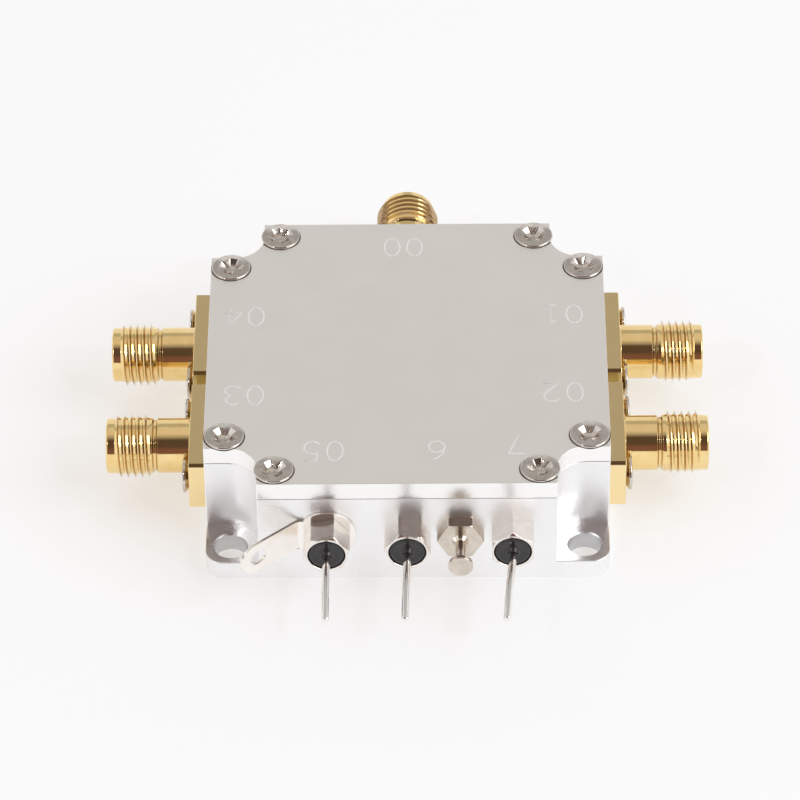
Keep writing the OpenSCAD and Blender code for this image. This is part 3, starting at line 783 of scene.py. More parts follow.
# a helical thread between two heights, which fades into its root at both ends
def helix(shape, root, crest, low, high, pitch, profile, sides, fade):
    turns = int((high - low) / pitch) + 2
    columns = []
    for j in range(sides):
        angle = 2 * math.pi * j / sides
        column = []
        for m in range(-1, turns):
            for share, lift in profile:
                z = min(max(low + (m + j / sides + share) * pitch, low), high)
                near = min((z - low) / fade[0], (high - z) / fade[1], 1.0)
                r = root + (crest - root) * lift * math.sin(max(near, 0.0) * math.pi / 2)
                column.append(shape.mesh.verts.new((r * math.cos(angle), r * math.sin(angle), z)))
        columns.append(column)
    for j in range(sides):
        here, after = columns[j], columns[(j + 1) % sides]
        shift = len(profile) if j == sides - 1 else 0
        last = len(here) - 1
        for i in range(last):
            a, b = min(i + shift, last), min(i + 1 + shift, last)
            if a != b:
                shape.mesh.faces.new((here[i], after[a], after[b], here[i + 1]))
            else:
                shape.mesh.faces.new((here[i], after[a], here[i + 1]))


screw = {
    "head": 1.975, "proud": 0.24, "crown": 0.055, "rim": 0.14, "neck": 1.0, "thread": 0.83, "pitch": 0.4,
    "plainTip": 0.25, "plainNeck": 0.35, "turns": (42, 75, 25, 45, 60, 45, 15, 30),
}
recess = {
    "mouth": (1.24, 0.50), "floor": (0.60, 0.34), "depth": 0.58, "point": 0.10, "tip": 0.16, "fillet": 0.22,
}
mouthSunk = 0.02  # how far a recess's mouth lies under the middle of its head
# a thread's outline: (share of the pitch, share of the height)
fineThread = [(0.06, 0.0), (0.36, 0.9), (0.5, 1.0), (0.64, 0.9), (0.94, 0.0)]


# z = 0 is the cover's top face
def makeCoverScrew():
    low, high = span(screwNodes[0])
    head, proud, crown, neck, root = (screw[name] for name in ("head", "proud", "crown", "neck", "thread"))
    length = high.z - low.z - proud
    cone = head - neck
    threadLow, threadHigh = screw["plainTip"] - length, -cone - screw["plainNeck"]
    top = [
        (0, proud + crown, 0), (head * 0.55, proud + 0.6 * crown, 1.2),
        (head - 0.02, proud - 0.03, screw["rim"]), (head, -0.01, 0.05), (neck, -cone, 0.08),
        (neck, threadHigh + 0.12, 0.03), (root, threadHigh, 0),
    ]
    end = [(root, threadLow, 0), (root - 0.15, -length, 0.04), (0, -length, 0)]
    shape = Shape()
    shape.turn(turned(top, 4), 40)
    shape.turn(turned(end, 2), 40)
    helix(shape, root, neck, threadLow, threadHigh, screw["pitch"], fineThread, 40, (0.3, 0.25))
    piece = shape.build("coverScrew")
    cutter = recessCutter(recess).place(Matrix.Translation((0, 0, proud + crown - mouthSunk)))
    return carve(piece, cutter.build("recess"))


pattern = makeCoverScrew()
for node, degrees in zip(screwNodes, screw["turns"]):
    piece = pattern.copy()
    piece.data = pattern.data.copy()
    piece.name = "coverScrew" + node[-1]
    bpy.context.scene.collection.objects.link(piece)
    centre = middle(node)
    place = Matrix.Translation((centre.x, centre.y, coverHigh.z))
    fit(piece, node, "screw_steel", place @ Matrix.Rotation(math.radians(degrees), 4, "Z"))
bpy.data.objects.remove(pattern)
print("cover screws made")


# coaxial jack: flange, barrel, groove, thread, tip and mouth
shell = {
    "flangeLong": 12.5, "flangeHigh": 5.75, "flangeThick": 1.65, "flangeEdge": 0.10, "flangeCorner": 0.28,
    "hole": 1.07, "barrel": 2.75, "barrelEnd": 4.87, "groove": 2.57, "grooveFrom": 5.05, "grooveTo": 5.25,
    "root": 2.77, "rootFrom": 5.43, "crest": 3.18, "pitch": 0.7056, "threadFrom": 5.55, "threadTo": 9.10,
    "tipEdge": 0.20, "length": 10.0, "mouth": 2.31, "mouthDepth": 1.9, "mouthEdge": 0.12, "bore": 2.06,
}
coaxThread = [(-0.04, 0.0), (0.30, 0.30), (0.38, 0.66), (0.44, 1.0), (0.50, 0.66), (0.58, 0.30), (0.92, 0.0)]


def makeShell(port):
    s = shell
    sides = 72
    thick, barrel, root, far, bore = s["flangeThick"], s["barrel"], s["root"], s["length"], s["bore"]
    shape = Shape()
    plan = rectangle(s["flangeLong"], s["flangeHigh"], s["flangeCorner"])
    flange = shape.prism(plan, softLevels(0.0, thick, s["flangeEdge"] / 2, s["flangeEdge"]), 1, False)
    tube = [(s["hole"] + 0.06, 0.0), (s["hole"], 0.06), (s["hole"], thick - 0.08), (s["hole"] + 0.08, thick)]
    holes = []
    for side in (-1, 1):
        hole = Shape()
        centre = Vector((side * jack["screwPitch"] / 2, 0, 0))
        moved = [shape.ring([v.co + centre for v in ring]) for ring in hole.turn(tube, 32)]
        shape.skin(moved)
        holes.append(moved)
    foot = [
        (barrel + 0.08, thick, 0), (barrel, thick + 0.08, 0.05), (barrel, s["barrelEnd"], 0.03),
        (s["groove"], s["grooveFrom"], 0.04), (s["groove"], s["grooveTo"], 0.04),
        (root, s["rootFrom"], 0.03), (root, s["threadFrom"], 0),
    ]
    outside = shape.turn(turned(foot, 3), sides)
    helix(shape, root, s["crest"], s["threadFrom"], s["threadTo"], s["pitch"], coaxThread, sides, (0.35, 0.3))
    mouth, mouthEdge, mouthFloor = s["mouth"], s["mouthEdge"], far - s["mouthDepth"]
    front = [
        (root, s["threadTo"], 0), (barrel, s["threadTo"] + 0.05, 0), (barrel, far, s["tipEdge"]),
        (mouth + mouthEdge, far, 0.02), (mouth, far - mouthEdge, 0.02), (mouth, mouthFloor, 0),
        (bore, mouthFloor, 0), (bore, 0.0, 0),
    ]
    inside = shape.turn(turned(front, 3), sides)
    shape.cap(flange[-1], outside[0], holes[0][-1], holes[1][-1])
    shape.cap(flange[0], inside[-1], holes[0][0], holes[1][0])
    return fit(shape.build(f"jackShell.{port}"), f"{port}_jack_shell", "gold_plate", atPort(port))


for port in ports:
    made = makeShell(port)
print("jack shells made:", len(made.data.polygons), "faces each")


# the flange screws: pan heads over a narrow foot
panScrew = {
    "head": 1.70, "height": 0.74, "foot": 1.25, "cone": 0.36, "rim": 0.14, "shank": 1.0, "grip": 4.2,
    "turns": {
        "left_front": (30, 70), "left_rear": (12, 55), "rear": (40, 5),
        "right_rear": (66, 21), "right_front": (35, 80),
    },
}
panRecess = {
    "mouth": (0.86, 0.24), "floor": (0.44, 0.11), "depth": 0.46, "point": 0.1, "tip": 0.04, "fillet": 0.12,
}


def makePanScrew():
    p = panScrew
    head, height, shank, end = p["head"], p["height"], p["shank"], -shell["flangeThick"] - p["grip"]
    line = [
        (0, height, 0), (head * 0.6, height - 0.03, 0.8), (head, height - p["rim"], p["rim"]),
        (head, p["cone"], 0.08), (p["foot"], 0.0, 0.02), (shank, 0.0, 0), (shank, end, 0.1), (0, end, 0),
    ]
    shape = Shape()
    shape.turn(turned(line, 4), 40)
    piece = shape.build("panScrew")
    cutter = recessCutter(panRecess).place(Matrix.Translation((0, 0, height - mouthSunk)))
    return carve(piece, cutter.build("recess"))


pattern = makePanScrew()
for port in ports:
    pair = Shape()
    for side, degrees in zip((-1, 1), panScrew["turns"][port]):
        single = Shape()
        single.mesh.from_mesh(pattern.data)
        place = Matrix.Translation((side * jack["screwPitch"] / 2, 0, shell["flangeThick"]))
        pair.add(single, place @ Matrix.Rotation(math.radians(degrees), 4, "Z"))
    fit(pair.build(f"flangeScrews.{port}"), f"{port}_jack_screws", "screw_steel", atPort(port))
bpy.data.objects.remove(pattern)
print("flange screws made")


# inside a jack: the white insulator and the slotted contact
core = {
    "insulator": 2.05, "face": 8.1, "back": -5.0, "contact": 0.635, "hole": 0.465, "holeDepth": 2.6,
    "slot": 0.16, "slotDepth": 2.1, "tail": 0.45, "tailLength": 2.2, "clearance": 0.01,
}


def makeCore(port):
    c = core
    face, back, contact, hole, tail = (c[name] for name in ("face", "back", "contact", "hole", "tail"))
    wide, narrow = c["insulator"], contact + c["clearance"]
    line = [(narrow, face, 0), (wide, face, 0.06), (wide, back, 0.05), (narrow, back, 0), (narrow, face, 0)]
    shape = Shape()
    shape.turn(turned(line, 2), 56)
    fit(shape.build(f"insulator.{port}"), f"{port}_jack_insulator", "white_insulator", atPort(port))
    holeFloor, tailEnd = face - c["holeDepth"], back - c["tailLength"]
    line = [
        (0, holeFloor, 0), (hole, holeFloor, 0), (hole, face - 0.06, 0.03), (hole + 0.05, face, 0.02),
        (contact, face, 0.05), (contact, back, 0.03), (tail, back, 0.02), (tail, tailEnd, 0.08),
        (0, tailEnd, 0),
    ]
    pin = Shape()
    pin.turn(turned(line, 3), 40)
    slots = Shape()
    slots.prism(crossPlan(1.0, c["slot"] / 2, 0.01, 0.01), [(0, face - c["slotDepth"]), (0, face + overrun)], 2)
    piece = carve(pin.build(f"contact.{port}"), slots.build("slots"))
    fit(piece, f"{port}_jack_contact", "gold_plate", atPort(port))


for port in ports:
    makeCore(port)
print("insulators and contacts made")


# a hexagon with its corners turned off at both ends, as a radius for each angle and height; a chamfer is
# (radius at the end, how much the height grows while the radius grows by 1), and points inside stay round
def hexRadius(width, low, high, lowChamfer, highChamfer, turn):
    def radius(r, z, angle):
        if r <= width * 0.49:
            return r
        part = (angle - turn) % (math.pi / 3) - math.pi / 6
        flat = width / 2 / math.cos(part)
        limit = min(lowChamfer[0] + (z - low) / lowChamfer[1], highChamfer[0] + (high - z) / highChamfer[1])
        return min(flat, limit)
    return radius


# sealed terminal: a hexagon with a cup in its front, and its stub
post = {
    "hex": 4.05, "length": 2.9, "seal": 1.84, "sealDepth": 1.0, "sealEdge": 0.04,
    "stub": 1.5, "stubEdge": 0.12, "grip": 5.0, "sleeve": 0.9,
    "lowChamfer": (1.16, 1.0), "highChamfer": (0.015, 0.62),
}
terminalFeet = {"supply": 0.36, "control_1": 0.0, "control_2": 0.0}
terminalTurns = {"supply": 11, "control_1": -9, "control_2": 30}


def makeTerminal(name):
    p = post
    foot = terminalFeet[name]
    front = foot + p["length"]
    half, wide = p["hex"] / 2, p["hex"] / 2 + 1  # rings at wide are drawn in to the hexagon
    below = (half * p["lowChamfer"][0], p["lowChamfer"][1])
    above = (half - p["highChamfer"][0], p["highChamfer"][1])
    warp = hexRadius(p["hex"], foot, front, below, above, math.radians(terminalTurns[name]))
    stub, edge, back, cup, floor = p["stub"], p["stubEdge"], -p["grip"], p["seal"], front - p["sealDepth"]
    line = [(p["sleeve"], back), (stub - edge, back), (stub, back + edge), (stub, foot), (half, foot)]
    line += [(wide, foot + 0.02 + 0.12 * k / 3) for k in range(4)]
    line += [(wide, front - 0.42 * (1 - k / 10)) for k in range(10)]
    line += [(half - 0.03, front), (cup + 0.03, front), (cup, front - p["sealEdge"])]
    line += [(cup, floor), (p["sleeve"], floor), (p["sleeve"], back)]
    shape = Shape()
    shape.turn(line, 96, warp)
    piece = shape.build(f"terminalBody.{name}")
    fit(piece, f"{name}_terminal_body", "nickel_plate", atFront(f"{name}_terminal_seal"))


for name in terminals:
    makeTerminal(name)
print("terminal bodies made")


# epoxy seals: sunk a little, ragged at the rim, climbing up the pin
seal = {
    "sunk": 0.30, "crown": 0.45, "dip": 0.07, "climb": 0.34, "climbAt": 0.80, "ragged": 0.03,
    "collar": 0.40, "lip": 0.30, "bore": 0.24, "clearance": 0.01, "steps": 24,
}


def makeSeal(name, seed):
    p, s = post, seal
    front = terminalFeet[name] + p["length"]
    shuffle = random.Random(seed)
    waves = [(shuffle.uniform(2, 11), shuffle.uniform(0, 6.3), shuffle.uniform(0.3, 1.0)) for k in range(6)]

    def ragged(r, z, angle):
        if not p["seal"] * 0.93 < r < p["seal"] * 0.999 or z < front - 0.5:
            return r
        swing = sum(size * math.sin(round(rate) * angle + start) for rate, start, size in waves) / 3
        return r - abs(swing) * s["ragged"]

    rim, sleeve = p["seal"] - s["clearance"], p["sleeve"] - s["clearance"]
    floor, back, bore, collar = front - p["sealDepth"] + s["clearance"], -p["grip"], s["bore"], s["collar"]
    line = [(bore, back), (sleeve, back), (sleeve, floor), (rim, floor), (rim, front - s["sunk"] - 0.02)]
    for k in range(1, s["steps"] + 1):
        r = rim - 0.02 - (rim - 0.02 - collar) * k / s["steps"]
        inside = min((rim - r) / s["crown"], 1.0)
        swell = s["sunk"] * (math.sqrt(1 - (1 - inside) ** 2) - 1)
        share = max((rim - r - s["crown"]) / (rim - s["crown"] - collar), 0.0)
        dish = s["dip"] * math.sin(math.pi * share / 2)
        rise = (s["climb"] + dish) * max(0.0, (s["climbAt"] - r) / (s["climbAt"] - collar)) ** 2
        line.append((r, front + swell - dish + rise))
    top = front + s["climb"] - 0.02
    line += [(s["lip"], top), (bore, top), (bore, back)]
    shape = Shape()
    shape.turn(line, 72, ragged)
    fit(shape.build(f"seal.{name}"), f"{name}_terminal_seal", "black_epoxy", atFront(f"{name}_terminal_seal"))


for seed, name in enumerate(terminals, 3):
    makeSeal(name, seed)
print("seals made")


# tinned pins: a swept wire with a soft bend and a rounded tip
wire = {
    "radius": 0.39, "core": 0.23, "reach": 12.5, "inner": 2.4, "swellAt": 0.35, "uneven": 0.012, "sides": 32,
    "leans": {"supply": 0.0, "control_1": 1.5, "control_2": 4.6},
    "bows": {"supply": 0.02, "control_1": 0.03, "control_2": 0.06},
}


def makePin(name):
    w = wire
    full, thin = w["radius"], w["core"]
    root = terminalFeet[name] + post["length"] + w["swellAt"] + full
    lean = math.radians(w["leans"][name])
    length = (w["reach"] - root) / math.cos(lean)
    shuffle = random.Random(name)
    # (way along the wire, radius): thin in the seal, full outside it, and rounded at the tip
    stops = [(-block["wall"] - w["inner"], thin), (root - 0.40, thin)]
    stops += [(root - 0.36, full - 0.04), (root - 0.32, full)]
    stops += [(root + length * k / 30, full) for k in range(30)]
    for t in [math.pi / 2 * k / 5 for k in range(6)]:
        stops.append((root + length - full * 0.55 * (1 - math.sin(t)), full * (0.45 + 0.55 * math.cos(t))))
    angles = [2 * math.pi * j / w["sides"] for j in range(w["sides"])]
    up = Vector((0, 1, 0))
    shape = Shape()
    rings = []
    for z, radius in stops:
        beyond = max(z - root, 0.0)
        bow = w["bows"][name] * math.sin(math.pi * min(beyond / length, 1.0))
        axis = Vector((-beyond * math.sin(lean) - bow, 0.0, min(z, root) + beyond * math.cos(lean)))
        tilt = lean if beyond else 0
        side = Vector((math.cos(tilt), 0.0, math.sin(tilt)))
        thick = radius * (1 + (shuffle.uniform(-w["uneven"], w["uneven"]) if beyond > 0 else 0))
        rings.append(shape.ring([axis + thick * (side * math.cos(a) + up * math.sin(a)) for a in angles]))
    shape.skin(rings)
    shape.plain(rings[0])
    shape.plain(rings[-1])
    fit(shape.build(f"pin.{name}"), f"{name}_terminal_pin", "tinned_pin", atFront(f"{name}_terminal_seal"))


for name in terminals:
    makePin(name)
print("pins made")


# ground post: chamfered hexagon, flared neck and round head
ground = {
    "hex": 4.0, "hexLength": 1.3, "neck": 0.535, "flare": 0.75, "flareLong": 0.35,
    "head": 1.215, "headLength": 0.5, "length": 5.0, "stub": 1.0, "grip": 4.0,
    "lowChamfer": (1.1, 0.6), "highChamfer": (1.1, 0.62),
}


def makeGroundPost():
    g = ground
    half, wide = g["hex"] / 2, g["hex"] / 2 + 1  # rings at wide are drawn in to the hexagon
    top, end, neck, head = g["hexLength"], g["length"], g["neck"], g["head"]
    under = end - g["headLength"]
    below, above = [(half * share, steep) for share, steep in (g["lowChamfer"], g["highChamfer"])]
    warp = hexRadius(g["hex"], 0.0, top, below, above, 0.0)
    line = [(0, -g["grip"]), (g["stub"], -g["grip"]), (g["stub"], 0.0), (half * 0.97, 0.0)]
    line += [(wide, 0.14 * k / 3) for k in range(4)]
    line += [(wide, top - 0.3 * (1 - k / 8)) for k in range(9)]
    line.append((half * 0.97, top))
    front = [
        (g["flare"] + 0.05, top, 0), (neck, top + g["flareLong"], 0.5), (neck, under, 0.06),
        (head, under, 0.06), (head, end, 0.10), (0, end, 0),
    ]
    shape = Shape()
    shape.turn(line + turned(front, 5), 72, warp)
    fit(shape.build("groundPost"), "ground_post", "nickel_plate", atFront("ground_post"), look="post_nickel")


makeGroundPost()
print("ground post made")


# solder lug: a flat ring and a tongue, bent out of one sheet
lug = {
    "thick": 0.3, "gap": 0.03, "ring": 2.9, "hole": 1.53, "bendAt": 2.95, "tongue": 7.1, "width": 3.6,
    "tip": 1.75, "holeLong": 1.95, "holeWide": 1.6, "holeAt": 5.0,
    "bend": 40, "droop": -0.5, "edge": 0.05, "inner": 0.18,
}


# points along an arc round (x, 0)
def arc(x, r, start, end, steps):
    spots = [start + (end - start) * k / steps for k in range(steps + 1)]
    return [Vector((x + r * math.cos(a), r * math.sin(a))) for a in spots]


# a closed loop moved to its left by inset
def shrink(loop, inset):
    moved = []
    for i, here in enumerate(loop):
        along = (loop[(i + 1) % len(loop)] - loop[i - 1]).normalized()
        moved.append(here + Vector((-along.y, along.x)) * inset)
    return moved


# whether a point of the plane is inside a closed loop
def inLoop(point, loop):
    inside = False
    for a, b in zip(loop, loop[1:] + loop[:1]):
        across = (a.y > point.y) != (b.y > point.y)
        if across and point.x < a.x + (point.y - a.y) * (b.x - a.x) / (b.y - a.y):
            inside = not inside
    return inside


# fills one face of the sheet between its rim, slot and hole, with a line across at each fold
def fillSheet(shape, loops, folds, half):
    rim, opening, bore = [[vertex.co.xy for vertex in loop] for loop in loops]
    corners = [vertex for loop in loops for vertex in loop]
    flat = [vertex.co.xy for vertex in corners]
    links, at = [], 0
    for loop in loops:
        links += [(at + i, at + (i + 1) % len(loop)) for i in range(len(loop))]
        at += len(loop)
    for x in folds:
        flat += [Vector((x, -half * 0.97)), Vector((x, half * 0.97))]
        links.append((len(flat) - 2, len(flat) - 1))
    spots, ignored, triangles, origins, *rest = delaunay_2d_cdt(flat, links, [], 0, 1e-6)
    height = corners[0].co.z
    made = []
    for spot, origin in zip(spots, origins):
        known = origin and origin[0] < len(corners)
        made.append(corners[origin[0]] if known else shape.mesh.verts.new((spot.x, spot.y, height)))
    for triangle in triangles:
        centre = sum((spots[k] for k in triangle), Vector((0, 0))) / 3
        if inLoop(centre, rim) and not inLoop(centre, opening) and not inLoop(centre, bore):
            shape.mesh.faces.new([made[k] for k in triangle])


def makeLug():
    g = lug
    half, ring, tip, bendAt = g["width"] / 2, g["ring"], g["tip"], g["bendAt"]
    quarter = math.pi / 2
    taper = math.atan((half - tip) / (g["tongue"] - tip))
    meet = math.asin(half / ring)
    edge = arc(0, ring, meet, 2 * math.pi - meet, 40)
    edge += [Vector((bendAt - 0.3, -half)), Vector((bendAt + 0.3, -half))]
    edge += arc(bendAt + g["tongue"] - tip, tip, taper - quarter, quarter - taper, 18)
    edge += [Vector((bendAt + 0.3, half)), Vector((bendAt - 0.3, half))]
    slotHalf = (g["holeLong"] - g["holeWide"]) / 2
    slotAt = bendAt + g["holeAt"]
    slot = arc(slotAt - slotHalf, g["holeWide"] / 2, quarter, 3 * quarter, 10)
    slot += arc(slotAt + slotHalf, g["holeWide"] / 2, -quarter, quarter, 10)
    hole = arc(0, g["hole"], 0, 2 * math.pi, 36)[:-1]

    # every loop runs with the sheet on its left
    shape = Shape()
    levels = softLevels(0.0, g["thick"], g["edge"], g["edge"], 2)
    bottoms, tops = [], []
    for loop in (edge, slot[::-1], hole[::-1]):
        rings = [shape.ring(shrink(loop, inset), height) for inset, height in levels]
        shape.skin(rings)
        bottoms.append(rings[0])
        tops.append(rings[-1])
    back = g["inner"] + g["thick"]
    reach = back * math.tan(math.radians(g["bend"]) / 2)
    start = bendAt - reach
    folds = [start + 2 * reach * k / 6 for k in range(7)]
    for loops in (bottoms, tops):
        fillSheet(shape, loops, folds, half)

    # the bend: what lies past the start goes round it, and then straight on
    angle = math.radians(g["bend"])
    for vertex in shape.mesh.verts:
        x, y, z = vertex.co
        share = min(max((x - start) / (2 * reach), 0.0), 1.0) * angle
        if x > start:
            beyond = max(x - start - 2 * reach, 0.0)
            vertex.co.x = start + (back - z) * math.sin(share) + beyond * math.cos(angle)
            vertex.co.z = back - (back - z) * math.cos(share) + beyond * math.sin(angle)
    turn = Matrix.Rotation(math.pi + math.radians(g["droop"]), 4, "Z") @ Matrix.Translation((0, 0, g["gap"]))
    fit(shape.build("solderLug"), "solder_lug", "tinned_lug", atFront("supply_terminal_seal") @ turn)


makeLug()
print("solder lug made")


# circuit board with its holes, and what is soldered on it
board = {"pocketGap": 0.15, "edge": 0.03, "hole": 0.9}
chips = {
    "edge": 0.05, "stand": 0.03, "corner": 0.06, "inset": 0.3, "lead": 0.26, "pitch": 0.65,
    "leadLong": 0.35, "leadThick": 0.16, "leadCorner": 0.04, "dimpleAt": 0.6, "dimpleDeep": 0.06,
}
small = {
    "capacitor": {"size": (1.0, 0.5, 0.5), "end": 0.25},
    "resistor": {"size": (1.0, 0.5, 0.35), "end": 0.22, "apart": 1.4},
}


def makeBoard():
    low, high = span("circuit_board")
    shape = Shape()
    plan = rectangle(high.x - low.x, high.y - low.y, block["pocketRadius"] - board["pocketGap"])
    shape.prism(plan, softLevels(low.z, high.z, board["edge"], board["edge"], 2), 8)
    holes = Shape()
    for x, y in boardScrewPlaces():
        hole = drill(board["hole"], low.z - overrun, high.z, 0.0, 32)
        holes.add(hole, Matrix.Translation((x, y, 0)))
    piece = carve(shape.build("circuitBoard"), holes.build("boardCut"))
    fit(piece, "circuit_board", "board_laminate")


# a chip with rounded package edges, a dimple beside its first lead and leads on four sides
def makeChip(node, name, leads):
    c = chips
    low, high = span(node)
    centre = middle(node)
    side, tall = high.x - low.x, high.z - low.z
    package = Shape()
    plan = rectangle(side - c["inset"], side - c["inset"], c["corner"])
    package.prism(plan, softLevels(c["stand"], tall, 0.02, c["edge"], 2), 3)
    dimple = Shape()
    dimple.turn([(0, tall - c["dimpleDeep"]), (0.2, tall - 0.04), (0.24, tall + 0.3), (0, tall + 0.3)], 24)
    corner = c["dimpleAt"] - side / 2
    dimple.place(Matrix.Translation((corner, corner, 0)))
    piece = carve(package.build(name), dimple.build("dimple"))
    count = len(piece.data.polygons)
    whole = Shape()
    whole.mesh.from_mesh(piece.data)
    bpy.data.objects.remove(piece)
    levels = softLevels(0.0, c["leadThick"], 0.02, 0.05, 2)
    for turn in range(4):
        for k in range(leads):
            along = (k - (leads - 1) / 2) * c["pitch"]
            plan = rectangle(c["lead"], c["leadLong"], c["leadCorner"], along, (c["leadLong"] - side) / 2)
            foot = Shape()
            foot.prism(plan, levels, 2)
            whole.add(foot, Matrix.Rotation(turn * math.pi / 2, 4, "Z"))
    joined = whole.build(name)
    fit(joined, node, "chip_black", Matrix.Translation((centre.x, centre.y, low.z)), "tinned_pin")
    for face in list(joined.data.polygons)[count:]:
        face.material_index = 1


# adds a small part, with a fired body and tinned ends, along x
def addSmall(shape, kind, place):
    (long, wide, high), end = small[kind]["size"], small[kind]["end"]
    middlePart = Shape()
    plan = rectangle(long - 2 * end + 0.02, wide * 0.94, 0.03)
    middlePart.prism(plan, softLevels(0.02, high * 0.96, 0.02, 0.04, 2), 2)
    shape.add(middlePart, place)
    count = len(shape.mesh.faces)
    for side in (-1, 1):
        tinned = Shape()
        plan = rectangle(end, wide, 0.05, side * (long - end) / 2)
        tinned.prism(plan, softLevels(0.0, high, 0.04, 0.06, 2), 3)
        shape.add(tinned, place)
    for face in list(shape.mesh.faces)[count:]:
        face.material_index = 1


def makeCapacitors():
    low = span("chip_capacitors")[0]
    chip = middle("switch_chip")
    half = (span("switch_chip")[1].x - span("switch_chip")[0].x) / 2
    # where each jack's track ends, from the middle of the switch chip
    ends = {
        "left_front": (-half, -1.2), "left_rear": (-half, 1.2), "rear": (0, half),
        "right_rear": (half, 1.2), "right_front": (half, -1.2),
    }
    shape = Shape()
    for port in ports:
        place = atPort(port)
        out = place.to_3x3() @ Vector((0, 0, 1))
        start = place.translation - out * (block["wall"] + core["tailLength"] / 2)
        run = (Vector((ends[port][0], chip.y + ends[port][1], 0)) - start).xy
        spot = start.xy + run * 0.5
        turn = Matrix.Rotation(math.atan2(run.y, run.x), 4, "Z")
        addSmall(shape, "capacitor", Matrix.Translation((spot.x, spot.y, low.z)) @ turn)
    fit(shape.build("capacitors"), "chip_capacitors", "capacitor_ceramic", Matrix(), "tinned_pin")


def makeResistors():
    low = span("chip_resistors")[0]
    centre = middle("chip_resistors")
    turn = Matrix.Rotation(math.pi / 2, 4, "Z")
    shape = Shape()
    for k in (-1, 0, 1):
        place = Matrix.Translation((k * small["resistor"]["apart"], centre.y, low.z))
        addSmall(shape, "resistor", place @ turn)
    fit(shape.build("resistors"), "chip_resistors", "resistor_black", Matrix(), "tinned_pin")


def makeBoardScrews():
    low, high = span("board_screws")
    head, height, shank = boardScrew["head"], boardScrew["height"], boardScrew["shank"]
    end = low.z - high.z + height
    line = [
        (0, height, 0), (head * 0.6, height - 0.02, 0.5), (head, height - 0.17, 0.15),
        (head, 0.02, 0.03), (shank, 0.0, 0), (shank, end, 0.1), (0, end, 0),
    ]
    pattern = Shape()
    pattern.turn(turned(line, 3), 36)
    cutter = recessCutter(panRecess).place(Matrix.Translation((0, 0, height - mouthSunk)))
    single = carve(pattern.build("boardScrew"), cutter.build("recess"))
    group = Shape()
    for k, (x, y) in enumerate(boardScrewPlaces()):
        copy = Shape()
        copy.mesh.from_mesh(single.data)
        group.add(copy, Matrix.Translation((x, y, high.z - height)) @ Matrix.Rotation(0.4 + 0.5 * k, 4, "Z"))
    bpy.data.objects.remove(single)
    fit(group.build("boardScrews"), "board_screws", "screw_steel")


makeBoard()
makeChip("switch_chip", "switchChip", 5)
makeChip("driver_chip", "driverChip", 3)
makeCapacitors()
makeResistors()
makeBoardScrews()
tracks = frame["nodes"]["board_tracks"]
tracks.data.materials.clear()
tracks.data.materials.append(finishes["track_copper"])
print("board and its parts made")


# plain numerals scratched beside the jacks and the terminals, read from the rear
numbers = {
    "height": 2.8, "step": 0.82, "stroke": 0.11, "deep": 0.012,
    "places": [
        ("00", -0.4, 16.2), ("01", 15.7, 5.4), ("02", 15.5, -6.6), ("03", -16.2, -6.8),
        ("04", -16.4, 5.3), ("05", -8.2, -15.2), ("6", 2.9, -15.2), ("7", 10.8, -14.3),
    ],
}

# strokes in a box 0.6 wide and 1 high: corners (x, y), and arcs (x, y, half width, half height, from, to),
# the last two in degrees
digits = {
    "0": [[(0.30, 0.50, 0.28, 0.50, 90, 450)]],
    "1": [[(0.12, 0.80), (0.32, 1.00), (0.32, 0.00)], [(0.12, 0.00), (0.52, 0.00)]],
    "2": [[(0.30, 0.70, 0.28, 0.30, 165, -35), (0.02, 0.00), (0.60, 0.00)]],
    "3": [[(0.28, 0.76, 0.24, 0.24, 150, -90), (0.28, 0.26, 0.29, 0.26, 90, -155)]],
    "4": [[(0.44, 0.00), (0.44, 1.00), (0.00, 0.30), (0.60, 0.30)]],
    "5": [[(0.54, 1.00), (0.12, 1.00), (0.07, 0.56), (0.27, 0.32, 0.30, 0.32, 120, -150)]],
    "6": [[(0.50, 0.98), (0.56, 0.32, 0.54, 0.66, 110, 180), (0.30, 0.30, 0.28, 0.30, 180, 540)]],
    "7": [[(0.02, 1.00), (0.60, 1.00), (0.24, 0.00)]],
}


def strokePoints(stroke):
    points = []
    for item in stroke:
        if len(item) == 2:
            points.append(Vector(item))
            continue
        x, y, wide, high, start, end = item
        count = max(abs(end - start) // 15, 2)
        for k in range(count + 1):
            angle = math.radians(start + (end - start) * k / count)
            points.append(Vector((x + wide * math.cos(angle), y + high * math.sin(angle))))
    return [p for p, before in zip(points, [None] + points) if before is None or (p - before).length > 0.01]


# a scratch along a line of points, with a low oval section
def addStroke(shape, points, origin):
    turns = [2 * math.pi * k / 8 for k in range(8)]
    rings = []
    last = len(points) - 1
    for i, point in enumerate(points):
        arrive = (point - points[i - 1]).normalized() if i else (points[1] - point).normalized()
        leave = (points[i + 1] - point).normalized() if i < last else arrive
        across = Vector((-arrive.y - leave.y, arrive.x + leave.x))
        across *= numbers["stroke"] / max(across.dot(Vector((-arrive.y, arrive.x))), 0.6)
        spots = [point + origin + across * math.cos(t) for t in turns]
        rings.append(shape.ring([(p.x, p.y, numbers["deep"] * math.sin(t)) for p, t in zip(spots, turns)]))
    shape.skin(rings)
    shape.plain(rings[0])
    shape.plain(rings[-1])


def makeNumbers():
    shape = Shape()
    height = numbers["height"]
    for label, x, y in numbers["places"]:
        word = Shape()
        for k, digit in enumerate(label):
            left = (k - (len(label) - 1) / 2) * numbers["step"] - 0.3
            for stroke in digits[digit]:
                points = [point * height for point in strokePoints(stroke)]
                addStroke(word, points, Vector((left * height, -height / 2)))
        shape.add(word, Matrix.Translation((x, y, coverHigh.z)) @ Matrix.Rotation(math.pi, 4, "Z"))
    piece = shape.build("numerals")
    piece.data.transform(Matrix.Scale(mm, 4))
    piece.data.materials.append(finishes["numeral_scratch"])
    piece.data.shade_smooth()
    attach(piece, "cover")


makeNumbers()
print("numerals made")


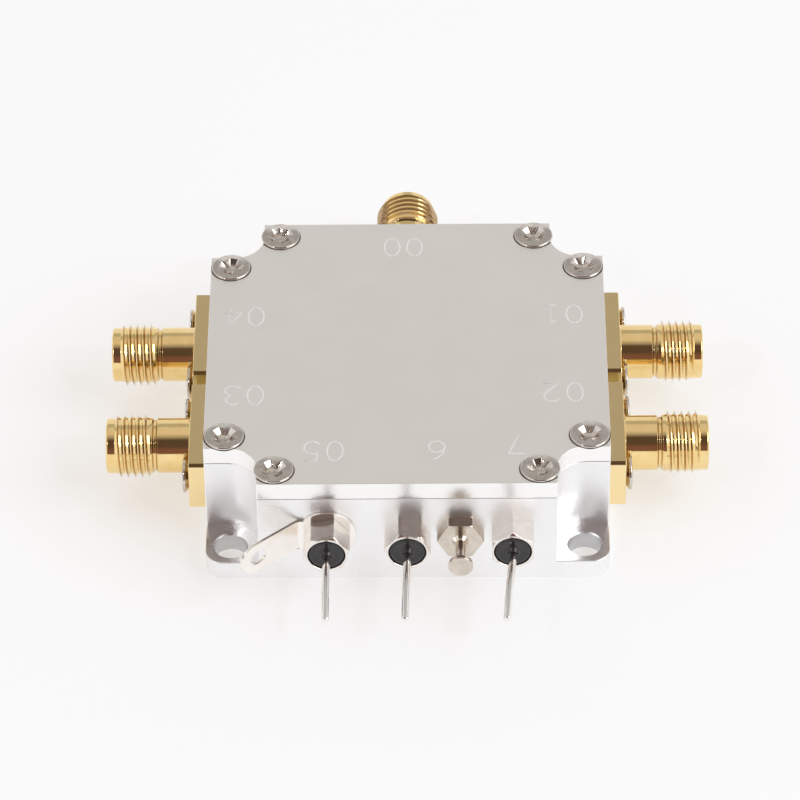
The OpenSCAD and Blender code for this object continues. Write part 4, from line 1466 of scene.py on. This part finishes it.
# studio: a pale floor, a soft room of light, a key lamp from the right and two small ones that give sparks
studio = {
    # the floor's matte colour is bluish and its glow warm, so its shadows turn warm: painted warm light
    "floor": 3.0, "floorBelow": 0.00002, "floorColour": (0.46, 0.54, 0.64), "floorGlow": (0.59, 0.535, 0.475),
    "lowDark": (0.20, 0.10, 0.09), "dark": (0.10, 0.07, 0.06), "above": (0.72, 0.66, 0.61),
    "rear": (0.50, 0.49, 0.47), "rearLow": (0.86, 0.85, 0.84), "ends": (0.36, 0.29, 0.23), "world": 1.0,
    "key": {"from": (0.78, -0.25, 0.62), "distance": 1.6, "size": 1.1, "glow": 2.2},
    "sparks": {
        "from": ((-0.50, -0.52, 0.69), (0.50, -0.52, 0.69)), "distance": 1.2, "size": 0.10, "glow": 32.0,
    },
}


# the floor looks as pale as the background and still takes shadows; light that bounces off it is duller, and
# since its matte part is bluish and its glow warm, its shadows come out warm: painted warm light, in place of
# light that the gold throws on it
def makeFloor():
    shape = bmesh.new()
    bmesh.ops.create_grid(shape, x_segments=1, y_segments=1, size=studio["floor"])
    data = bpy.data.meshes.new("floor")
    shape.to_mesh(data)
    shape.free()
    floor = bpy.data.objects.new("floor", data)
    bpy.context.scene.collection.objects.link(floor)
    floor.location.z = -studio["floorBelow"]
    material = bpy.data.materials.new("floor")
    material.use_nodes = True
    g = Graph(material.node_tree)
    matte = g.node("ShaderNodeBsdfDiffuse", None, {"Color": (*studio["floorColour"], 1.0)})
    glow = g.node("ShaderNodeEmission", None, {"Color": (*studio["floorGlow"], 1.0), "Strength": 1.0})
    seen = g.node("ShaderNodeAddShader", None, {0: matte, 1: glow})
    kinds = ("Is Camera Ray", "Is Glossy Ray", "Is Transmission Ray")
    rays = [g.node("ShaderNodeLightPath", out=name) for name in kinds]
    looked = rays[0].highest(rays[1]).highest(rays[2])
    mixed = g.node("ShaderNodeMixShader", None, {0: looked, 1: matte, 2: seen})
    g.node("ShaderNodeOutputMaterial", None, {"Surface": mixed})
    data.materials.append(material)


def makeRoom():
    world = bpy.data.worlds.new("studio")
    bpy.context.scene.world = world
    world.use_nodes = True
    g = Graph(world.node_tree)
    direction = g.node("ShaderNodeTexCoord", out="Generated")
    x, y, z = g.split(direction)
    # height of a direction seen along Y, in degrees from the front horizon over the top to the rear one
    over = g.node("ShaderNodeMath", {"operation": "ARCTAN2"}, {0: z, 1: -1.0 * y}) * (180 / math.pi)
    side = x.size()
    front = over.step(3, 6) * over.step(94, 62) * side.step(0.62, 0.42)
    above = over.step(64, 84) * over.step(126, 120) * side.step(0.84, 0.66)
    rear = over.step(120, 126) * over.step(150, 145) * side.step(0.90, 0.75)
    white = (1.0, 1.0, 1.0)
    colour = g.blend(above, white, studio["above"])
    colour = g.blend(front, colour, g.blend(over.step(20, 40), studio["lowDark"], studio["dark"]))
    colour = g.blend(rear, colour, studio["rear"])
    colour = g.blend(over.step(145, 152), colour, studio["rearLow"])
    colour = g.blend(side.step(0.90, 0.97), colour, studio["ends"])
    colour = g.blend(g.node("ShaderNodeLightPath", out="Is Camera Ray"), colour, white)
    glow = g.node("ShaderNodeBackground", None, {"Color": colour, "Strength": studio["world"]})
    g.node("ShaderNodeOutputWorld", None, {"Surface": glow})


# a round lamp that faces the object; glow is how bright its face is, where 1 is white
def makeLamp(name, heading, distance, size, glow):
    place = Vector(heading).normalized() * distance
    data = bpy.data.lights.new(name, "AREA")
    data.shape = "DISK"
    data.size = size
    data.energy = glow * math.pi * math.pi * size ** 2 / 4
    lamp = bpy.data.objects.new(name, data)
    bpy.context.scene.collection.objects.link(lamp)
    lamp.location = place
    lamp.rotation_euler = (-place).to_track_quat("-Z", "Y").to_euler()


makeFloor()
makeRoom()
key, sparks = studio["key"], studio["sparks"]
makeLamp("key", key["from"], key["distance"], key["size"], key["glow"])
for k, heading in enumerate(sparks["from"]):
    makeLamp(f"spark{k}", heading, sparks["distance"], sparks["size"], sparks["glow"])
print("studio made")

# camera: where the photograph was taken from, and the pixel on which the part's origin lands
view = {
    "place": (2.82, -379.4, 336.3), "lens": 224.14, "sensor": 36.0, "clip": (0.01, 20.0),
    "originAt": (407.92, 443.18), "roll": -0.622, "frame": 800,
}


def makeCamera():
    data = bpy.data.cameras.new("camera")
    data.lens = view["lens"]
    data.sensor_width = view["sensor"]
    data.clip_start, data.clip_end = view["clip"]
    camera = bpy.data.objects.new("camera", data)
    bpy.context.scene.collection.objects.link(camera)
    place = Vector(view["place"]) * mm
    focal = view["lens"] / view["sensor"] * view["frame"]
    aim = (-place).to_track_quat("-Z", "Y").to_matrix().to_4x4()
    right = math.atan((view["originAt"][0] - view["frame"] / 2) / focal)
    down = math.atan((view["originAt"][1] - view["frame"] / 2) / focal)
    roll = Matrix.Rotation(math.radians(view["roll"]), 4, "Z")
    turn = aim @ roll @ Matrix.Rotation(right, 4, "Y") @ Matrix.Rotation(down, 4, "X")
    camera.matrix_world = Matrix.Translation(place) @ turn
    bpy.context.scene.camera = camera


makeCamera()
bpy.context.scene.view_settings.view_transform = "Standard"
